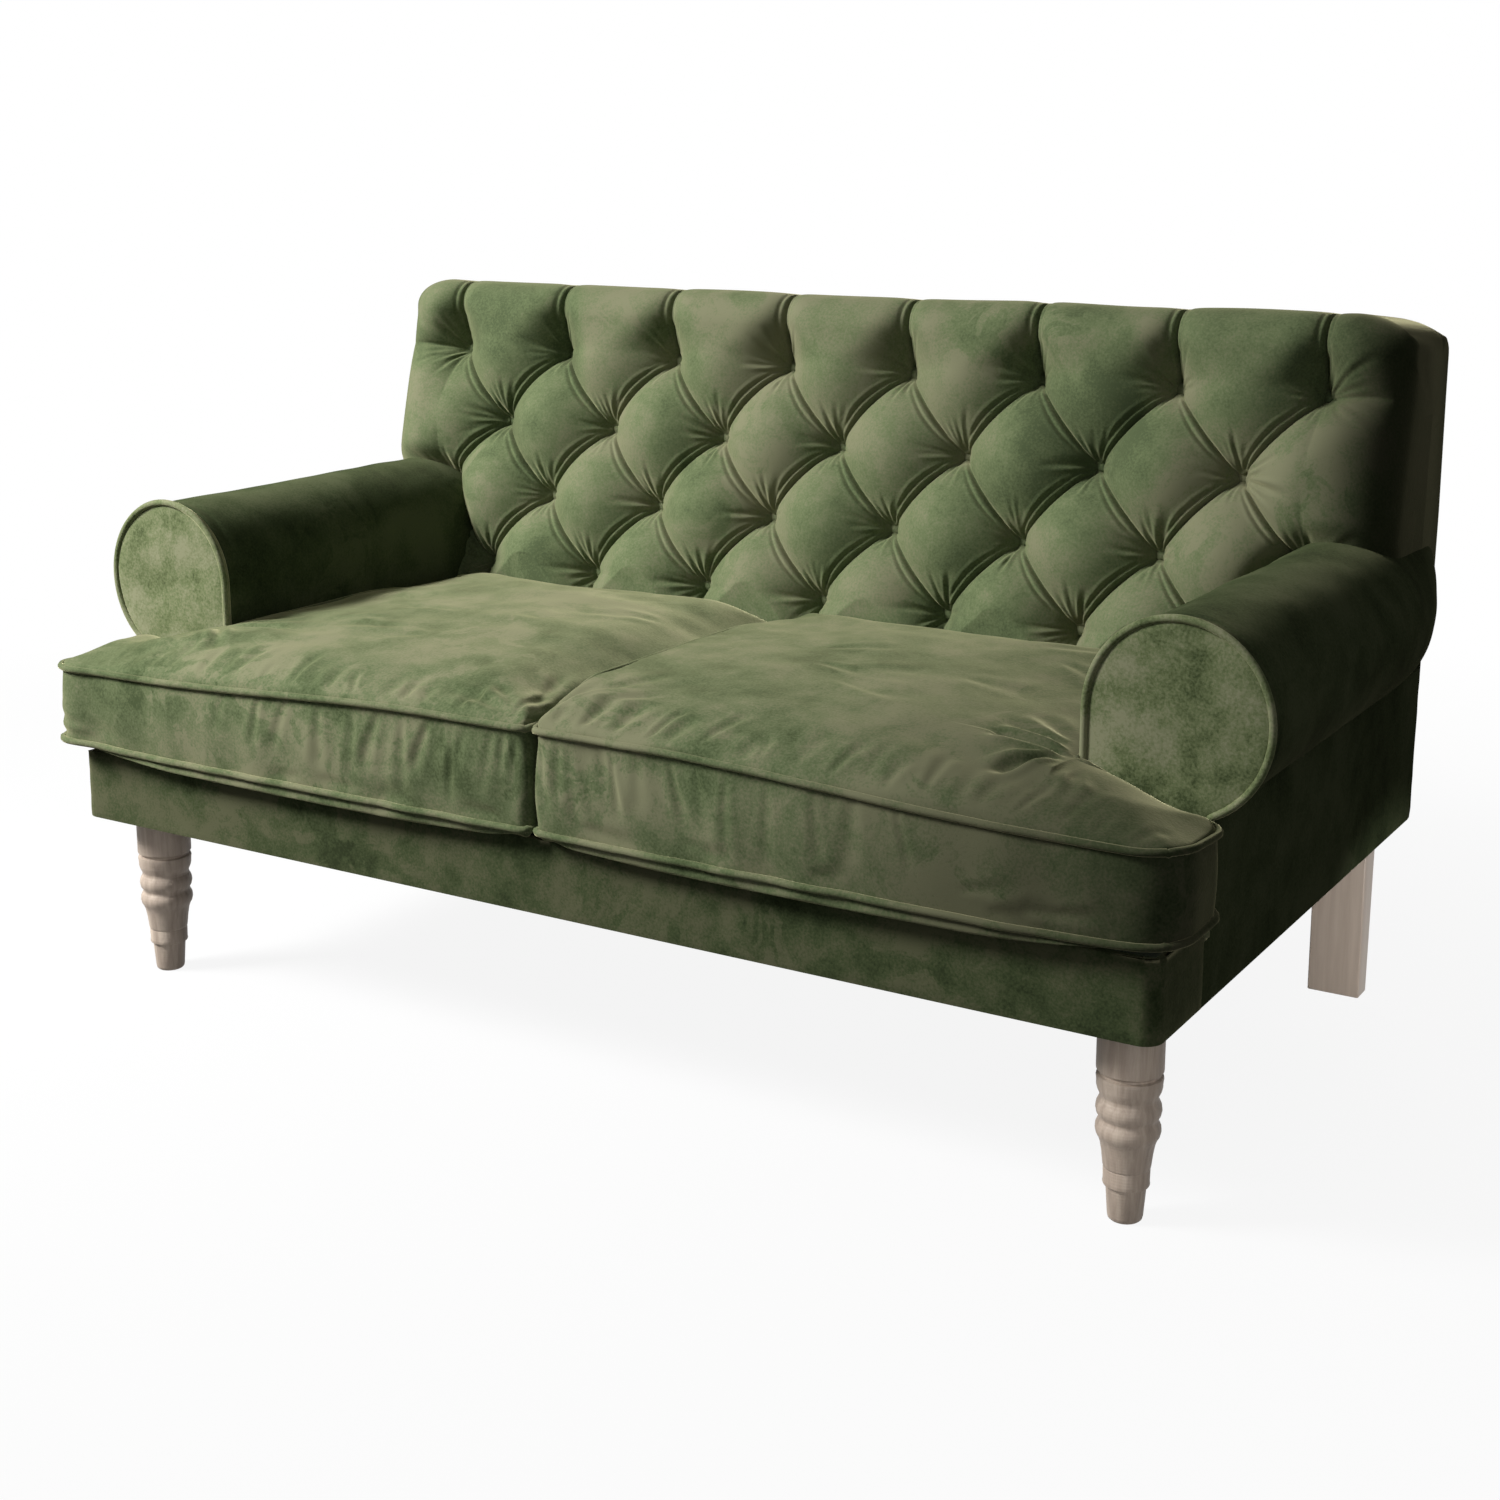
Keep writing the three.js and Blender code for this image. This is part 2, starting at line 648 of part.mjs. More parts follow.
const formerInset = armPadThickness + fit;
const hollowRearY = armRearY - armRearWall;
for (const [name, side] of sides) {
  const underRoll = block([side * (openingHalf - overrun), side * neckX],
    [hollowRearY - fit, rearY + overrun], [armFoot - overrun, sidePanelTop + fit]);
  const pad = roundedArmBody(side)
    .subtract(armBody(side, armPadThickness, scrollFrontY - overrun, hollowRearY,
      armFoot - overrun))
    .subtract(underRoll)
    .subtract(cavity);
  const former = armBody(side, formerInset, armPostFrontY, hollowRearY - fit, armFoot)
    .subtract(armBody(side, formerInset + armFormerThickness, armPostFrontY - overrun,
      rearY, armFoot - overrun))
    .subtract(cavity);
  const mirrored = (outline) => outline.map(([x, z]) => [side * x, z]);
  const scrollBoard = prism(mirrored(armOutline(formerInset, armFoot, sideRailOuter)), 'y',
    scrollFrontY, scrollFrontY + scrollBoardThickness);
  const facing = prism(mirrored(armOutline(0, armFoot, bodyHalf)), 'y',
    armFrontY, armFrontY + facingThickness);
  piece(arms, `arm_pad_${name}`, pad, velvet);
  piece(arms, `arm_former_${name}`, former, fibreboard);
  piece(arms, `scroll_board_${name}`, scrollBoard, pine);
  piece(arms, `arm_facing_${name}`, facing, velvet);

  const boardTop = armBoardHeight + railThickness;
  const armBoard = prism([
    [armPostFrontY, armBoardHeight],
    raked(alongAt(armBoardHeight, postFront - fit), postFront - fit),
    raked(alongAt(boardTop, postFront - fit), postFront - fit),
    [armPostFrontY, boardTop],
  ], 'x', side * (openingHalf + formerInset + armFormerThickness + fit), side * sideRailOuter);
  piece(arms, `arm_board_${name}`, armBoard, pine);
  piece(arms, `arm_post_${name}`, block(
    [side * frameHalf, side * (frameHalf - armPostWidth)],
    [armPostFrontY, armPostFrontY + armPostDepth],
    [frameBottom, armBoardHeight - fit],
  ), pine);

  const sidePanel = prism([
    [armFrontY, coverBottom],
    [backingY(coverBottom), coverBottom],
    [backingY(sidePanelTop), sidePanelTop],
    [scrollFrontY, sidePanelTop],
    [scrollFrontY, armFoot - fit],
    [armFrontY, armFoot - fit],
  ], 'x', side * neckX, side * bodyHalf);
  piece(arms, `side_panel_${name}`, sidePanel, velvetDark);
}

// Timber of the back: raked posts with rails tenoned between them
const postRear = postFront + backPostDepth;
const postTop = alongAt(cavityTop - fit, postFront);
const lowerRailAlong = alongAt(railTop + backLowerRailLift, postFront);
const lowerRailSpan = [lowerRailAlong, lowerRailAlong + backRailWidth];
const topRailSpan = [postTop - backRailWidth, postTop];
const backRailBehind = [postFront, postFront + railThickness];
const backTenonBehind = [postFront + railThickness / 2 - tenonThickness / 2,
  postFront + railThickness / 2 + tenonThickness / 2];
const shortened = ([low, high]) => [low + tenonThickness, high - tenonThickness];
const postInner = frameHalf - backPostWidth;
const railEnd = postInner - fit;
const backTenonX = (side) => [side * (railEnd - railThickness), side * (postInner + tenonLength)];

function rakedTenon(side, span) {
  return rakedBlock(...backTenonX(side), shortened(span), backTenonBehind);
}

function backFrameRail(span) {
  const rail = rakedBlock(-railEnd, railEnd, span, backRailBehind);
  return rail.add(rakedTenon(-1, span)).add(rakedTenon(1, span));
}

for (const [name, side] of sides) {
  const belowFrame = block([-bodyHalf, bodyHalf], [frontY, rearY], [0, frameBottom]);
  let post = rakedBlock(side * frameHalf, side * postInner,
    [alongAt(coverBottom - overrun, postFront), postTop], [postFront, postRear])
    .subtract(belowFrame);
  for (const span of [lowerRailSpan, topRailSpan]) {
    post = post.subtract(rakedBlock(...grown(backTenonX(side)), grown(shortened(span)),
      grown(backTenonBehind)));
  }
  piece(back, `back_post_${name}`, post, pine);
}
piece(back, 'back_lower_rail', backFrameRail(lowerRailSpan), pine);
piece(back, 'back_top_rail', backFrameRail(topRailSpan), pine);
piece(back, 'back_centre_post', rakedBlock(-centrePostWidth / 2, centrePostWidth / 2,
  [lowerRailSpan[1] + fit, topRailSpan[0] - fit],
  [postFront + centrePostRecess, postFront + railThickness]), pine);

const tackTop = cavityTop - fit;
const tackBottom = tackTop - tackRailWidth;
const tackFront = postRear + fit;
piece(back, 'back_tack_rail', prism([
  raked(alongAt(tackBottom, tackFront), tackFront),
  raked(alongAt(tackTop, tackFront), tackFront),
  [backingY(tackTop), tackTop],
  [backingY(tackBottom), tackBottom],
], 'x', -frameHalf, frameHalf), pine);

// Webbing across the front of the back's rails
strapPlaceShares.forEach((share, i) => {
  const x = share * openingHalf;
  const span = [lowerRailAlong + strapEndMargin, postTop - strapEndMargin];
  piece(back, `back_strap_${i + 1}`, rakedBlock(x - strapWidth / 2, x + strapWidth / 2,
    span, [strapFront, strapFront + strapThickness]), webbing);
});

// Outside back cover
piece(back, 'outside_back', prism([
  [rearLineY(coverBottom), coverBottom],
  [rearLineY(rearLeanTop), rearLeanTop],
  [rearLineY(outsideBackTop), outsideBackTop],
  [rearLineY(outsideBackTop) - outsideBackThickness, outsideBackTop],
  [rearLineY(rearLeanTop) - outsideBackThickness, rearLeanTop],
  [rearLineY(coverBottom) - outsideBackThickness, coverBottom],
], 'x', -backHalf + outsideBackInset, backHalf - outsideBackInset), velvetDark);

// Buttoned back pad. Buttons lie where both slants of the diamond lattice are whole.
function smooth(low, high, value) {
  return THREE.MathUtils.smoothstep(value, low, high);
}

function tuftRise(x, height) {
  const across = Math.abs(x) / buttonSpacing;
  const row = (topButtonHeight - height) / buttonRowSpacing;
  const lastRow = buttonRows - 1;
  const clampedRow = THREE.MathUtils.clamp(row, 0, lastRow);
  const first = Math.abs(Math.sin(Math.PI * (across - 0.5 + clampedRow / 2)));
  const second = Math.abs(Math.sin(Math.PI * (across - 0.5 - clampedRow / 2)));
  const ridge = Math.sqrt(first * second);
  const valley = Math.max(first, second);
  const past = Math.min(1, Math.max(-row, row - lastRow, 0));
  const lateral = Math.pow(ridge, 1 / (1 + past));
  const floor = Math.max(valley, Math.sin(past * Math.PI / 2));
  const rise = pleatDepthShare * lateral + (1 - pleatDepthShare) * floor;
  const edge = smooth(lastPleatShare, plainEndShare, across);
  return THREE.MathUtils.lerp(rise, 1, edge);
}

function roundOff(distance, radius) {
  const inside = THREE.MathUtils.clamp(radius - distance, 0, radius);
  return radius - Math.sqrt(radius * radius - inside * inside);
}

// The pad leaves the cushions their place and the path that they lift along
function clearOfCushions(y) {
  return Math.max(y, cushionRearY + fit);
}

const padFoot = deckTop + fit;
const faceStep = buttonRowSpacing / 3;
const faceHeights = [padFoot, cushionTopSeam];
for (let row = 3 * buttonRows - 2; row > 0; row--) {
  const height = topButtonHeight - row * faceStep;
  if (height > cushionTopSeam + faceStep / 2) faceHeights.push(height);
}
faceHeights.push(topButtonHeight);
if (topButtonHeight + faceStep < backHeight - backTopFrontRound) {
  faceHeights.push(topButtonHeight + faceStep);
}
const topArcAngles = [18, 42, 66, 90].map((degrees) => THREE.MathUtils.degToRad(degrees));

function backSection(x) {
  const fromEdge = backHalf - Math.abs(x);
  const sideDrop = roundOff(fromEdge, backSideRound);
  const cornerDrop = roundOff(fromEdge, backCornerRound);
  const rearDrop = roundOff(fromEdge, backRearCornerRound);
  const points = [];
  for (const height of faceHeights) {
    const low = 1 - smooth(padFoot, padFoot + 4 * backLowerTuck, height);
    const rise = tuftCrown * tuftRise(x, height) - backLowerTuck * low - sideDrop;
    const y = tuftPlaneY(height) - rise * rakeCosine;
    points.push([clearOfCushions(y), height + rise * rakeSine]);
  }
  const topFrontY = tuftPlaneY(backHeight - backTopFrontRound) - tuftCrown * rakeCosine;
  for (const angle of topArcAngles) {
    const dip = tuftCrown * (1 - tuftRise(x, backHeight)) * Math.cos(angle);
    points.push([
      topFrontY + backTopFrontRound * (1 - Math.cos(angle)) + dip + sideDrop * Math.cos(angle),
      backHeight - backTopFrontRound * (1 - Math.sin(angle)),
    ]);
  }
  const rearTopY = backingY(backHeight) - backTopRearRound;
  for (const angle of [Math.PI / 2, Math.PI / 4, 0]) {
    points.push([
      rearTopY + backTopRearRound * Math.cos(angle) - rearDrop,
      backHeight - backTopRearRound * (1 - Math.sin(angle)),
    ]);
  }
  points.push([backingY(rearLeanTop) - rearDrop, rearLeanTop]);
  points.push([backingY(padFoot) - rearDrop, padFoot]);
  const cornerReach = backHeight - topButtonHeight;
  return points.map(([y, z]) => {
    const share = THREE.MathUtils.clamp((z - topButtonHeight) / cornerReach, 0, 1);
    return [x, y, z - cornerDrop * share];
  });
}

function backPad() {
  const places = [];
  const step = buttonSpacing / 6;
  const count = Math.floor((backHalf - backSideRound / 2) / step);
  for (let i = -count; i <= count; i++) places.push(i * step);
  const edges = sideRoundShares.map((share) => backHalf - share * backSideRound);
  const columns = [...edges.map((x) => -x).reverse(), ...places, ...edges];
  const deckSpace = block([-backHalf, backHalf], [frontY, rearY], [frameBottom, padFoot]);
  let pad = loft(columns.map(backSection)).subtract(cavity).subtract(deckSpace);
  for (const [, side] of sides) {
    const around = 1 + 2 * fit / armRollHalfWidth;
    const roll = armOutline(0, padFoot - overrun, neckX).slice(0, -1)
      .filter(([x, z]) => z >= armRollCentreHeight || x < armRollX)
      .map(([x, z]) => [armRollX + (x - armRollX) * around,
        armRollCentreHeight + (z - armRollCentreHeight) * around]);
    const outer = backHalf + overrun;
    const outline = [...roll, [outer, armRollCentreHeight], [outer, padFoot - overrun]];
    pad = pad.subtract(prism(outline.map(([x, z]) => [side * x, z]), 'y', frontY, rearY));
  }
  return pad;
}
piece(back, 'back_pad', backPad(), velvet);

// Seat cushions: a T shape with one ear in front of the arm. The inset gives the core.
function cushionGrid(inset) {
  const inner = cushionMiddleGap + inset;
  const outer = openingHalf - cushionSideClearance - inset;
  const ear = bodyHalf + cushionEarOverhang - inset;
  const front = frontY + inset;
  const earRear = armFrontY - cushionEarClearance - inset;
  const rear = cushionRearY - inset;
  const across = [
    ...cushionAcrossShares.map((share) => inner + share * (outer - inner)),
    ...cushionEarShares.map((share) => outer + share * (ear - outer)),
  ];
  const deep = [
    ...cushionEarDepthShares.map((share) => front + share * (earRear - front)),
    ...cushionBehindEarShares.map((share) => earRear + share * (rear - earRear)),
  ];
  return { inner, outer, ear, front, earRear, rear, across, deep };
}

function edgeDistance(grid, u, y) {
  const inEar = u > grid.outer;
  const behindEar = y > grid.earRear;
  const toOuter = behindEar ? grid.outer - u : grid.ear - u;
  const rearScale = cushionCrownReach / cushionRearReach;
  const toRear = inEar ? grid.earRear - y : (grid.rear - y) * rearScale;
  const toNotch = Math.hypot(Math.max(0, grid.outer - u), Math.max(0, grid.earRear - y));
  return Math.max(0, Math.min(u - grid.inner, toOuter, y - grid.front, toRear, toNotch));
}

function dome(distance, reach) {
  const share = 1 - Math.min(1, distance / reach);
  return Math.sqrt(1 - share * share);
}

// How far a place lies out in the ear, from 0 to 1
function earShare(grid, u) {
  return smooth(grid.outer - cushionEarFallBefore, grid.outer + cushionEarFallReach, u);
}

// The front seam is higher at the inner end. Behind it the filling lifts the seams, less so
// in the ear and towards the back.
function seamHeight(grid, topSeam, u, y) {
  const fullness = 1 - smooth(grid.inner + cushionMiddleFlat, grid.inner + cushionMiddleReach, u);
  const front = cushionMiddleRise * fullness;
  const behind = cushionBehindRise - cushionEarDrop * earShare(grid, u);
  const share = smooth(grid.front, grid.front + cushionBehindReach, y);
  const rear = cushionRearDrop * smooth(grid.rear - cushionRearDropReach, grid.rear, y);
  return topSeam + front + share * (behind - front) - rear;
}

// The sides draw in between the corners, and the free corners are rounded
function drawnIn(grid, u, y) {
  const bow = (from, to, at) => {
    const share = THREE.MathUtils.clamp((at - from) / (to - from), 0, 1);
    return cushionPullIn * Math.sin(Math.PI * share);
  };
  const near = (distance) => 1 - smooth(0, cushionCrownReach, Math.abs(distance));
  const corner = cushionCornerRound * (1 - Math.SQRT1_2);
  let newU = u + bow(grid.front, grid.rear, y) * near(u - grid.inner);
  let newY = y + bow(grid.inner, grid.ear, u) * near(y - grid.front);
  newU -= bow(grid.earRear, grid.rear, y) * near(u - grid.outer);
  newY -= bow(grid.inner, grid.outer, u) * near(y - grid.rear);
  if (u === grid.ear && (y === grid.front || y === grid.earRear)) newU -= corner;
  if (u === grid.ear && y === grid.front) newY += corner;
  if (u === grid.ear && y === grid.earRear) newY -= corner / 2;
  if (y === grid.rear && (u === grid.outer || u === grid.inner)) newY -= corner / 2;
  return [newU, newY];
}

function cushionBody(side, inset) {
  const grid = cushionGrid(inset);
  const low = cushionFoot + inset;
  const lowSeam = cushionLowSeam + inset;
  const topSeam = cushionTopSeam - inset;
  const corners = [];
  const faces = [];
  const rows = { top: new Map(), under: new Map(), waist: new Map() };
  const key = (i, j) => i * grid.deep.length + j;
  const isCell = (i, j) => i >= 0 && j >= 0 && i + 1 < grid.across.length
    && j + 1 < grid.deep.length
    && (grid.across[i] < grid.outer || grid.deep[j] < grid.earRear);

  function corner(row, i, j) {
    if (rows[row].has(key(i, j))) return rows[row].get(key(i, j));
    const [u, y] = [grid.across[i], grid.deep[j]];
    const distance = edgeDistance(grid, u, y);
    let [atU, atY] = drawnIn(grid, u, y);
    const seam = seamHeight(grid, topSeam, u, y);
    const crownTop = topSeam + cushionCrown - cushionEarCrownDrop * earShare(grid, u);
    let z = seam + (crownTop - seam) * dome(distance, cushionCrownReach);
    if (row === 'under') z = lowSeam - (lowSeam - low) * dome(distance, cushionUnderReach);
    if (row === 'waist') {
      z = (seam + lowSeam) / 2;
      const [inU, inY] = [0, 1].map((k) => {
        const cells = [[0, 0], [-1, 0], [0, -1], [-1, -1]].filter(([a, b]) => isCell(i + a, j + b));
        return Math.sign(cells.reduce((sum, cell) => sum + cell[k] + 0.5, 0));
      });
      atU += cushionWaist * inU;
      atY += cushionWaist * inY;
    }
    rows[row].set(key(i, j), corners.length / 3);
    corners.push(side * atU, atY, z);
    return rows[row].get(key(i, j));
  }

  function quad(a, b, c, d) {
    faces.push(a, b, c, a, c, d);
  }

  for (let i = 0; i + 1 < grid.across.length; i++) {
    for (let j = 0; j + 1 < grid.deep.length; j++) {
      if (!isCell(i, j)) continue;
      const ring = [[i, j], [i + 1, j], [i + 1, j + 1], [i, j + 1]];
      quad(...ring.map(([a, b]) => corner('top', a, b)));
      quad(...ring.map(([a, b]) => corner('under', a, b)).reverse());
      const across = [[0, -1], [1, 0], [0, 1], [-1, 0]];
      across.forEach(([di, dj], k) => {
        if (isCell(i + di, j + dj)) return;
        const [from, to] = [ring[k], ring[(k + 1) % 4]];
        for (const [upper, lower] of [['top', 'waist'], ['waist', 'under']]) {
          quad(corner(upper, ...to), corner(upper, ...from),
            corner(lower, ...from), corner(lower, ...to));
        }
      });
    }
  }
  return closedMesh(corners, faces);
}

for (const [name, side] of sides) {
  const outside = cushionGrid(0);
  const zipHeight = cushionLowSeam + cushionSideHeight / 2;
  const zipOpening = block(
    [side * (outside.inner + zipEndMargin), side * (outside.outer - zipEndMargin)],
    [outside.rear - 2.5 * cushionWrap, outside.rear + overrun],
    [zipHeight - zipOpeningHeight / 2, zipHeight + zipOpeningHeight / 2],
  );
  const cover = cushionBody(side, 0)
    .subtract(cushionBody(side, cushionWrap - cushionCoreClearance))
    .subtract(zipOpening);
  piece(seat, `cushion_cover_${name}`, cover, velvet);
  piece(seat, `cushion_core_${name}`, cushionBody(side, cushionWrap), foam);
}

export default sofa;
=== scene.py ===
import math

import bmesh
import bpy
import numpy as np
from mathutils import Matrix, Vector


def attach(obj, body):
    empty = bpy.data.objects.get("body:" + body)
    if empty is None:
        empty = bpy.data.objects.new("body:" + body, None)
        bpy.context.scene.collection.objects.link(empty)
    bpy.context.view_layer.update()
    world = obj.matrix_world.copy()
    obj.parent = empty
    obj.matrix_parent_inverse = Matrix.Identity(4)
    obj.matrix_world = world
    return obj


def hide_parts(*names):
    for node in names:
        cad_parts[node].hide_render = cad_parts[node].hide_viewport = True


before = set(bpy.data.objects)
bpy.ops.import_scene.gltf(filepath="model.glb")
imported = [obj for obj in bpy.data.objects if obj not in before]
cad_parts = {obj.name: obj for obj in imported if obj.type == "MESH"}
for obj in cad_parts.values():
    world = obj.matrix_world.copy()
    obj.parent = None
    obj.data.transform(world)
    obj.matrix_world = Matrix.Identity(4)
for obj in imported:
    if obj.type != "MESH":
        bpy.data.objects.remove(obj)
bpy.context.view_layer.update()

# Sizes of the sofa in millimetres, as the frame has them
MM = 0.001
SIDES = {"left": -1, "right": 1}
BODY_HALF = 757.0
OPENING_HALF = 617.0
COVER_FOOT = 228.0
PANEL_TOP = 432.0
DECK_TOP = 319.7
BORDER_FRONT = -460.0
ARM_FRONT = -332.0
FACING_DEPTH = 12.0
ARM_BODY_FRONT = -319.7
ARM_REAR = 461.0
ARM_FOOT = 300.9
NECK = 749.0
ROLL_X = 717.5
ROLL_Z = 532.4
ROLL_HALF_WIDTH = 100.5
ROLL_HALF_HEIGHT = 105.0
ROLL_MEAN_HALF = 102
ROLL_TAPER_START = 198.0
ROLL_TAPER = 1428.0
TIMBER_HALF = 720.7

RAKE = math.radians(13.7)
TUFT_Y = 220.0
TUFT_Z = 600.0
BACK_HALF = 767.0
BACK_TOP = 904.0
BACK_REAR = 473.7
PAD_FOOT = 320.0
PAD_THICKNESS = 97.0
SEAT_CLEAR = 141.2
BUTTON_STEP = 192.0
ROW_STEP = 103.9
TOP_ROW = 803.0
LAST_ROW = 3
OUTER_COLUMN = 3.5
FIELD_TOP = 846
FIELD_FOOT = 442
CROWN = 58.0

SEAT_FOOT = 320.0
SEAT_FRONT = -480.0
SEAT_REAR = 138.5
SEAT_INNER = 4.0
SEAT_OUTER = 613.0
EAR_OUTER = 778.0
EAR_REAR = -335.0
BELLY_FOOT = 316.5
LOW_SEAM = 335.0
TOP_SEAM = 437.0
CROWN_TOP = 506.0

dice = np.random.default_rng(11)


# Colours and finishes
def linear(colour):
    """An sRGB hex colour as the linear colour that a shader takes."""
    channels = [int(colour[i:i + 2], 16) / 255 for i in (1, 3, 5)]
    flat = [c / 12.92 if c <= 0.04045 else ((c + 0.055) / 1.055) ** 2.4 for c in channels]
    return (*flat, 1.0)


def add_node(finish, kind, inputs=None, **settings):
    """Adds a node to a finish, with its settings, and its inputs as values or as links."""
    node = finish.node_tree.nodes.new(kind)
    for name, value in settings.items():
        setattr(node, name, value)
    for socket, value in (inputs or {}).items():
        if isinstance(value, bpy.types.NodeSocket):
            finish.node_tree.links.new(value, node.inputs[socket])
        else:
            node.inputs[socket].default_value = value
    return node


def new_finish(name):
    """An empty finish, to be built from nodes."""
    finish = bpy.data.materials.new(name)
    finish.use_nodes = True
    finish.node_tree.nodes.clear()
    return finish


def close_finish(finish, colour, normal=None, **values):
    """Ends a finish with its Principled shader. Values are set on the shader's own sockets."""
    inputs = {"Base Color": colour, **values}
    if normal is not None:
        inputs["Normal"] = normal
    shader = add_node(finish, "ShaderNodeBsdfPrincipled", inputs)
    add_node(finish, "ShaderNodeOutputMaterial", {"Surface": shader.outputs["BSDF"]})
    return finish


def ramp(finish, factor, stops):
    """Colours along a factor, each stop with its place and its hex colour."""
    node = add_node(finish, "ShaderNodeValToRGB", {"Fac": factor})
    elements = node.color_ramp.elements
    while len(elements) < len(stops):
        elements.new(0.5)
    for element, (place, colour) in zip(elements, stops):
        element.position = place
        element.color = linear(colour)
    return node.outputs["Color"]


STROKE_SHARE = 0.1
GRAIN_SHARE = 0.36


def crushed_velvet(name, deep, mid, light, sheen, marks, turned=None):
    """Crushed velvet: a short pile that lies in blotches where hands brushed it,
    so the eye sees soft clouds, here and there a brushed stroke with one sharp edge, and a
    pale bloom where the cloth turns away. Marks say how worn the pile is, from 0 to 1.
    Turned gives the stretch along the sofa, in metres, over which the colour darkens as painted
    shade, and how much of the colour is left there."""
    finish = new_finish(name)
    place = add_node(finish, "ShaderNodeTexCoord").outputs["Object"]
    clouds = add_node(finish, "ShaderNodeTexNoise", {
        "Vector": place, "Scale": 6.0, "Detail": 4.0, "Roughness": 0.55, "Distortion": 0.5})
    scuffs = add_node(finish, "ShaderNodeTexNoise", {
        "Vector": place, "Scale": 22.0, "Detail": 6.0, "Roughness": 0.62, "Distortion": 0.25})
    swirls = add_node(finish, "ShaderNodeTexNoise", {
        "Vector": place, "Scale": 13.0, "Detail": 5.0, "Roughness": 0.62, "Distortion": 0.9})
    where = add_node(finish, "ShaderNodeTexNoise", {
        "Vector": place, "Scale": 3.4, "Detail": 1.0})
    grain = add_node(finish, "ShaderNodeTexNoise", {
        "Vector": place, "Scale": 320.0, "Detail": 2.0, "Roughness": 0.6})
    strokes = ramp(finish, swirls.outputs["Fac"], [(0.5, "#000000"), (0.535, "#ffffff")])
    marked = ramp(finish, where.outputs["Fac"], [(0.47, "#000000"), (0.6, "#ffffff")])
    brushed = add_node(finish, "ShaderNodeMath", {0: strokes, 1: marked}, operation="MULTIPLY")
    broad = add_node(finish, "ShaderNodeMath", {
        0: clouds.outputs["Fac"], 1: 0.85 - 0.45 * marks, 2: 0.05 - 0.1 * marks},
        operation="MULTIPLY_ADD")
    worn = add_node(finish, "ShaderNodeMath", {
        0: scuffs.outputs["Fac"], 1: 0.1 + 0.75 * marks, 2: broad.outputs[0]},
        operation="MULTIPLY_ADD")
    nap = add_node(finish, "ShaderNodeMath", {
        0: brushed.outputs[0], 1: STROKE_SHARE, 2: worn.outputs[0]},
        operation="MULTIPLY_ADD")
    speckled = add_node(finish, "ShaderNodeMath", {
        0: grain.outputs["Fac"], 1: GRAIN_SHARE, 2: nap.outputs[0]}, operation="MULTIPLY_ADD")
    colour = ramp(finish, speckled.outputs[0], [(0.56, deep), (0.7, mid), (0.85, light)])
    # painted shade: the colour darkens along x over the turned stretch
    if turned:
        low, high, left = turned
        along = add_node(finish, "ShaderNodeSeparateXYZ", {"Vector": place})
        share = add_node(finish, "ShaderNodeMapRange", {
            "Value": along.outputs["X"], "From Min": low, "From Max": high, "To Min": 1.0,
            "To Max": left}, interpolation_type="SMOOTHSTEP")
        colour = add_node(finish, "ShaderNodeVectorMath", {
            0: colour, "Scale": share.outputs["Result"]}, operation="SCALE").outputs["Vector"]
    lie = add_node(finish, "ShaderNodeBump", {
        "Height": nap.outputs[0], "Distance": 0.005, "Strength": 0.16})
    pile = add_node(finish, "ShaderNodeBump", {
        "Height": grain.outputs["Fac"], "Distance": 0.0007, "Strength": 0.35,
        "Normal": lie.outputs["Normal"]})
    return close_finish(finish, colour, pile.outputs["Normal"], **{
        "Roughness": 0.9, "Specular IOR Level": 0.0, "Sheen Weight": sheen,
        "Sheen Roughness": 0.4, "Sheen Tint": linear("#d2cda2")})


# main velvet: the colour darkens from x 0.62 to 0.77 m, down to a quarter, as painted shade on the
# right end
velvet = crushed_velvet("crushed_velvet_moss", "#4a553b", "#5e694a", "#72735a", 0.65, 0.25,
                        (0.62, 0.77, 0.25))
velvet_seat = crushed_velvet("crushed_velvet_moss_seat", "#3f4b31", "#5a6547", "#74755b",
                             0.8, 0.5)
# right cushion: the seat velvet, darkening towards its outer end as painted shade
velvet_seat_right_painted_shade = crushed_velvet("crushed_velvet_moss_seat_painted_shade", "#3f4b31", "#5a6547",
                                   "#74755b", 0.65, 0.5, (0.22, 0.74, 0.38))
# front border: a darker copy of the velvet, as painted shade under the cushions
velvet_border_painted_shade = crushed_velvet("crushed_velvet_moss_border_painted_shade", "#2a3320", "#3e482f", "#545640",
                               0.45, 0.7)
# arms and side panels: a darker copy of the velvet, as painted shade
velvet_dark_painted_shade = crushed_velvet("crushed_velvet_moss_painted_shade", "#2c3523", "#3f4930", "#50573e",
                            0.12, 0.35)
# arm facings: a paler copy of the velvet, as painted light
velvet_pale_painted_light = crushed_velvet("crushed_velvet_moss_painted_light", "#3f4a2f", "#66704e",
                               "#84866a", 0.8, 0.75)


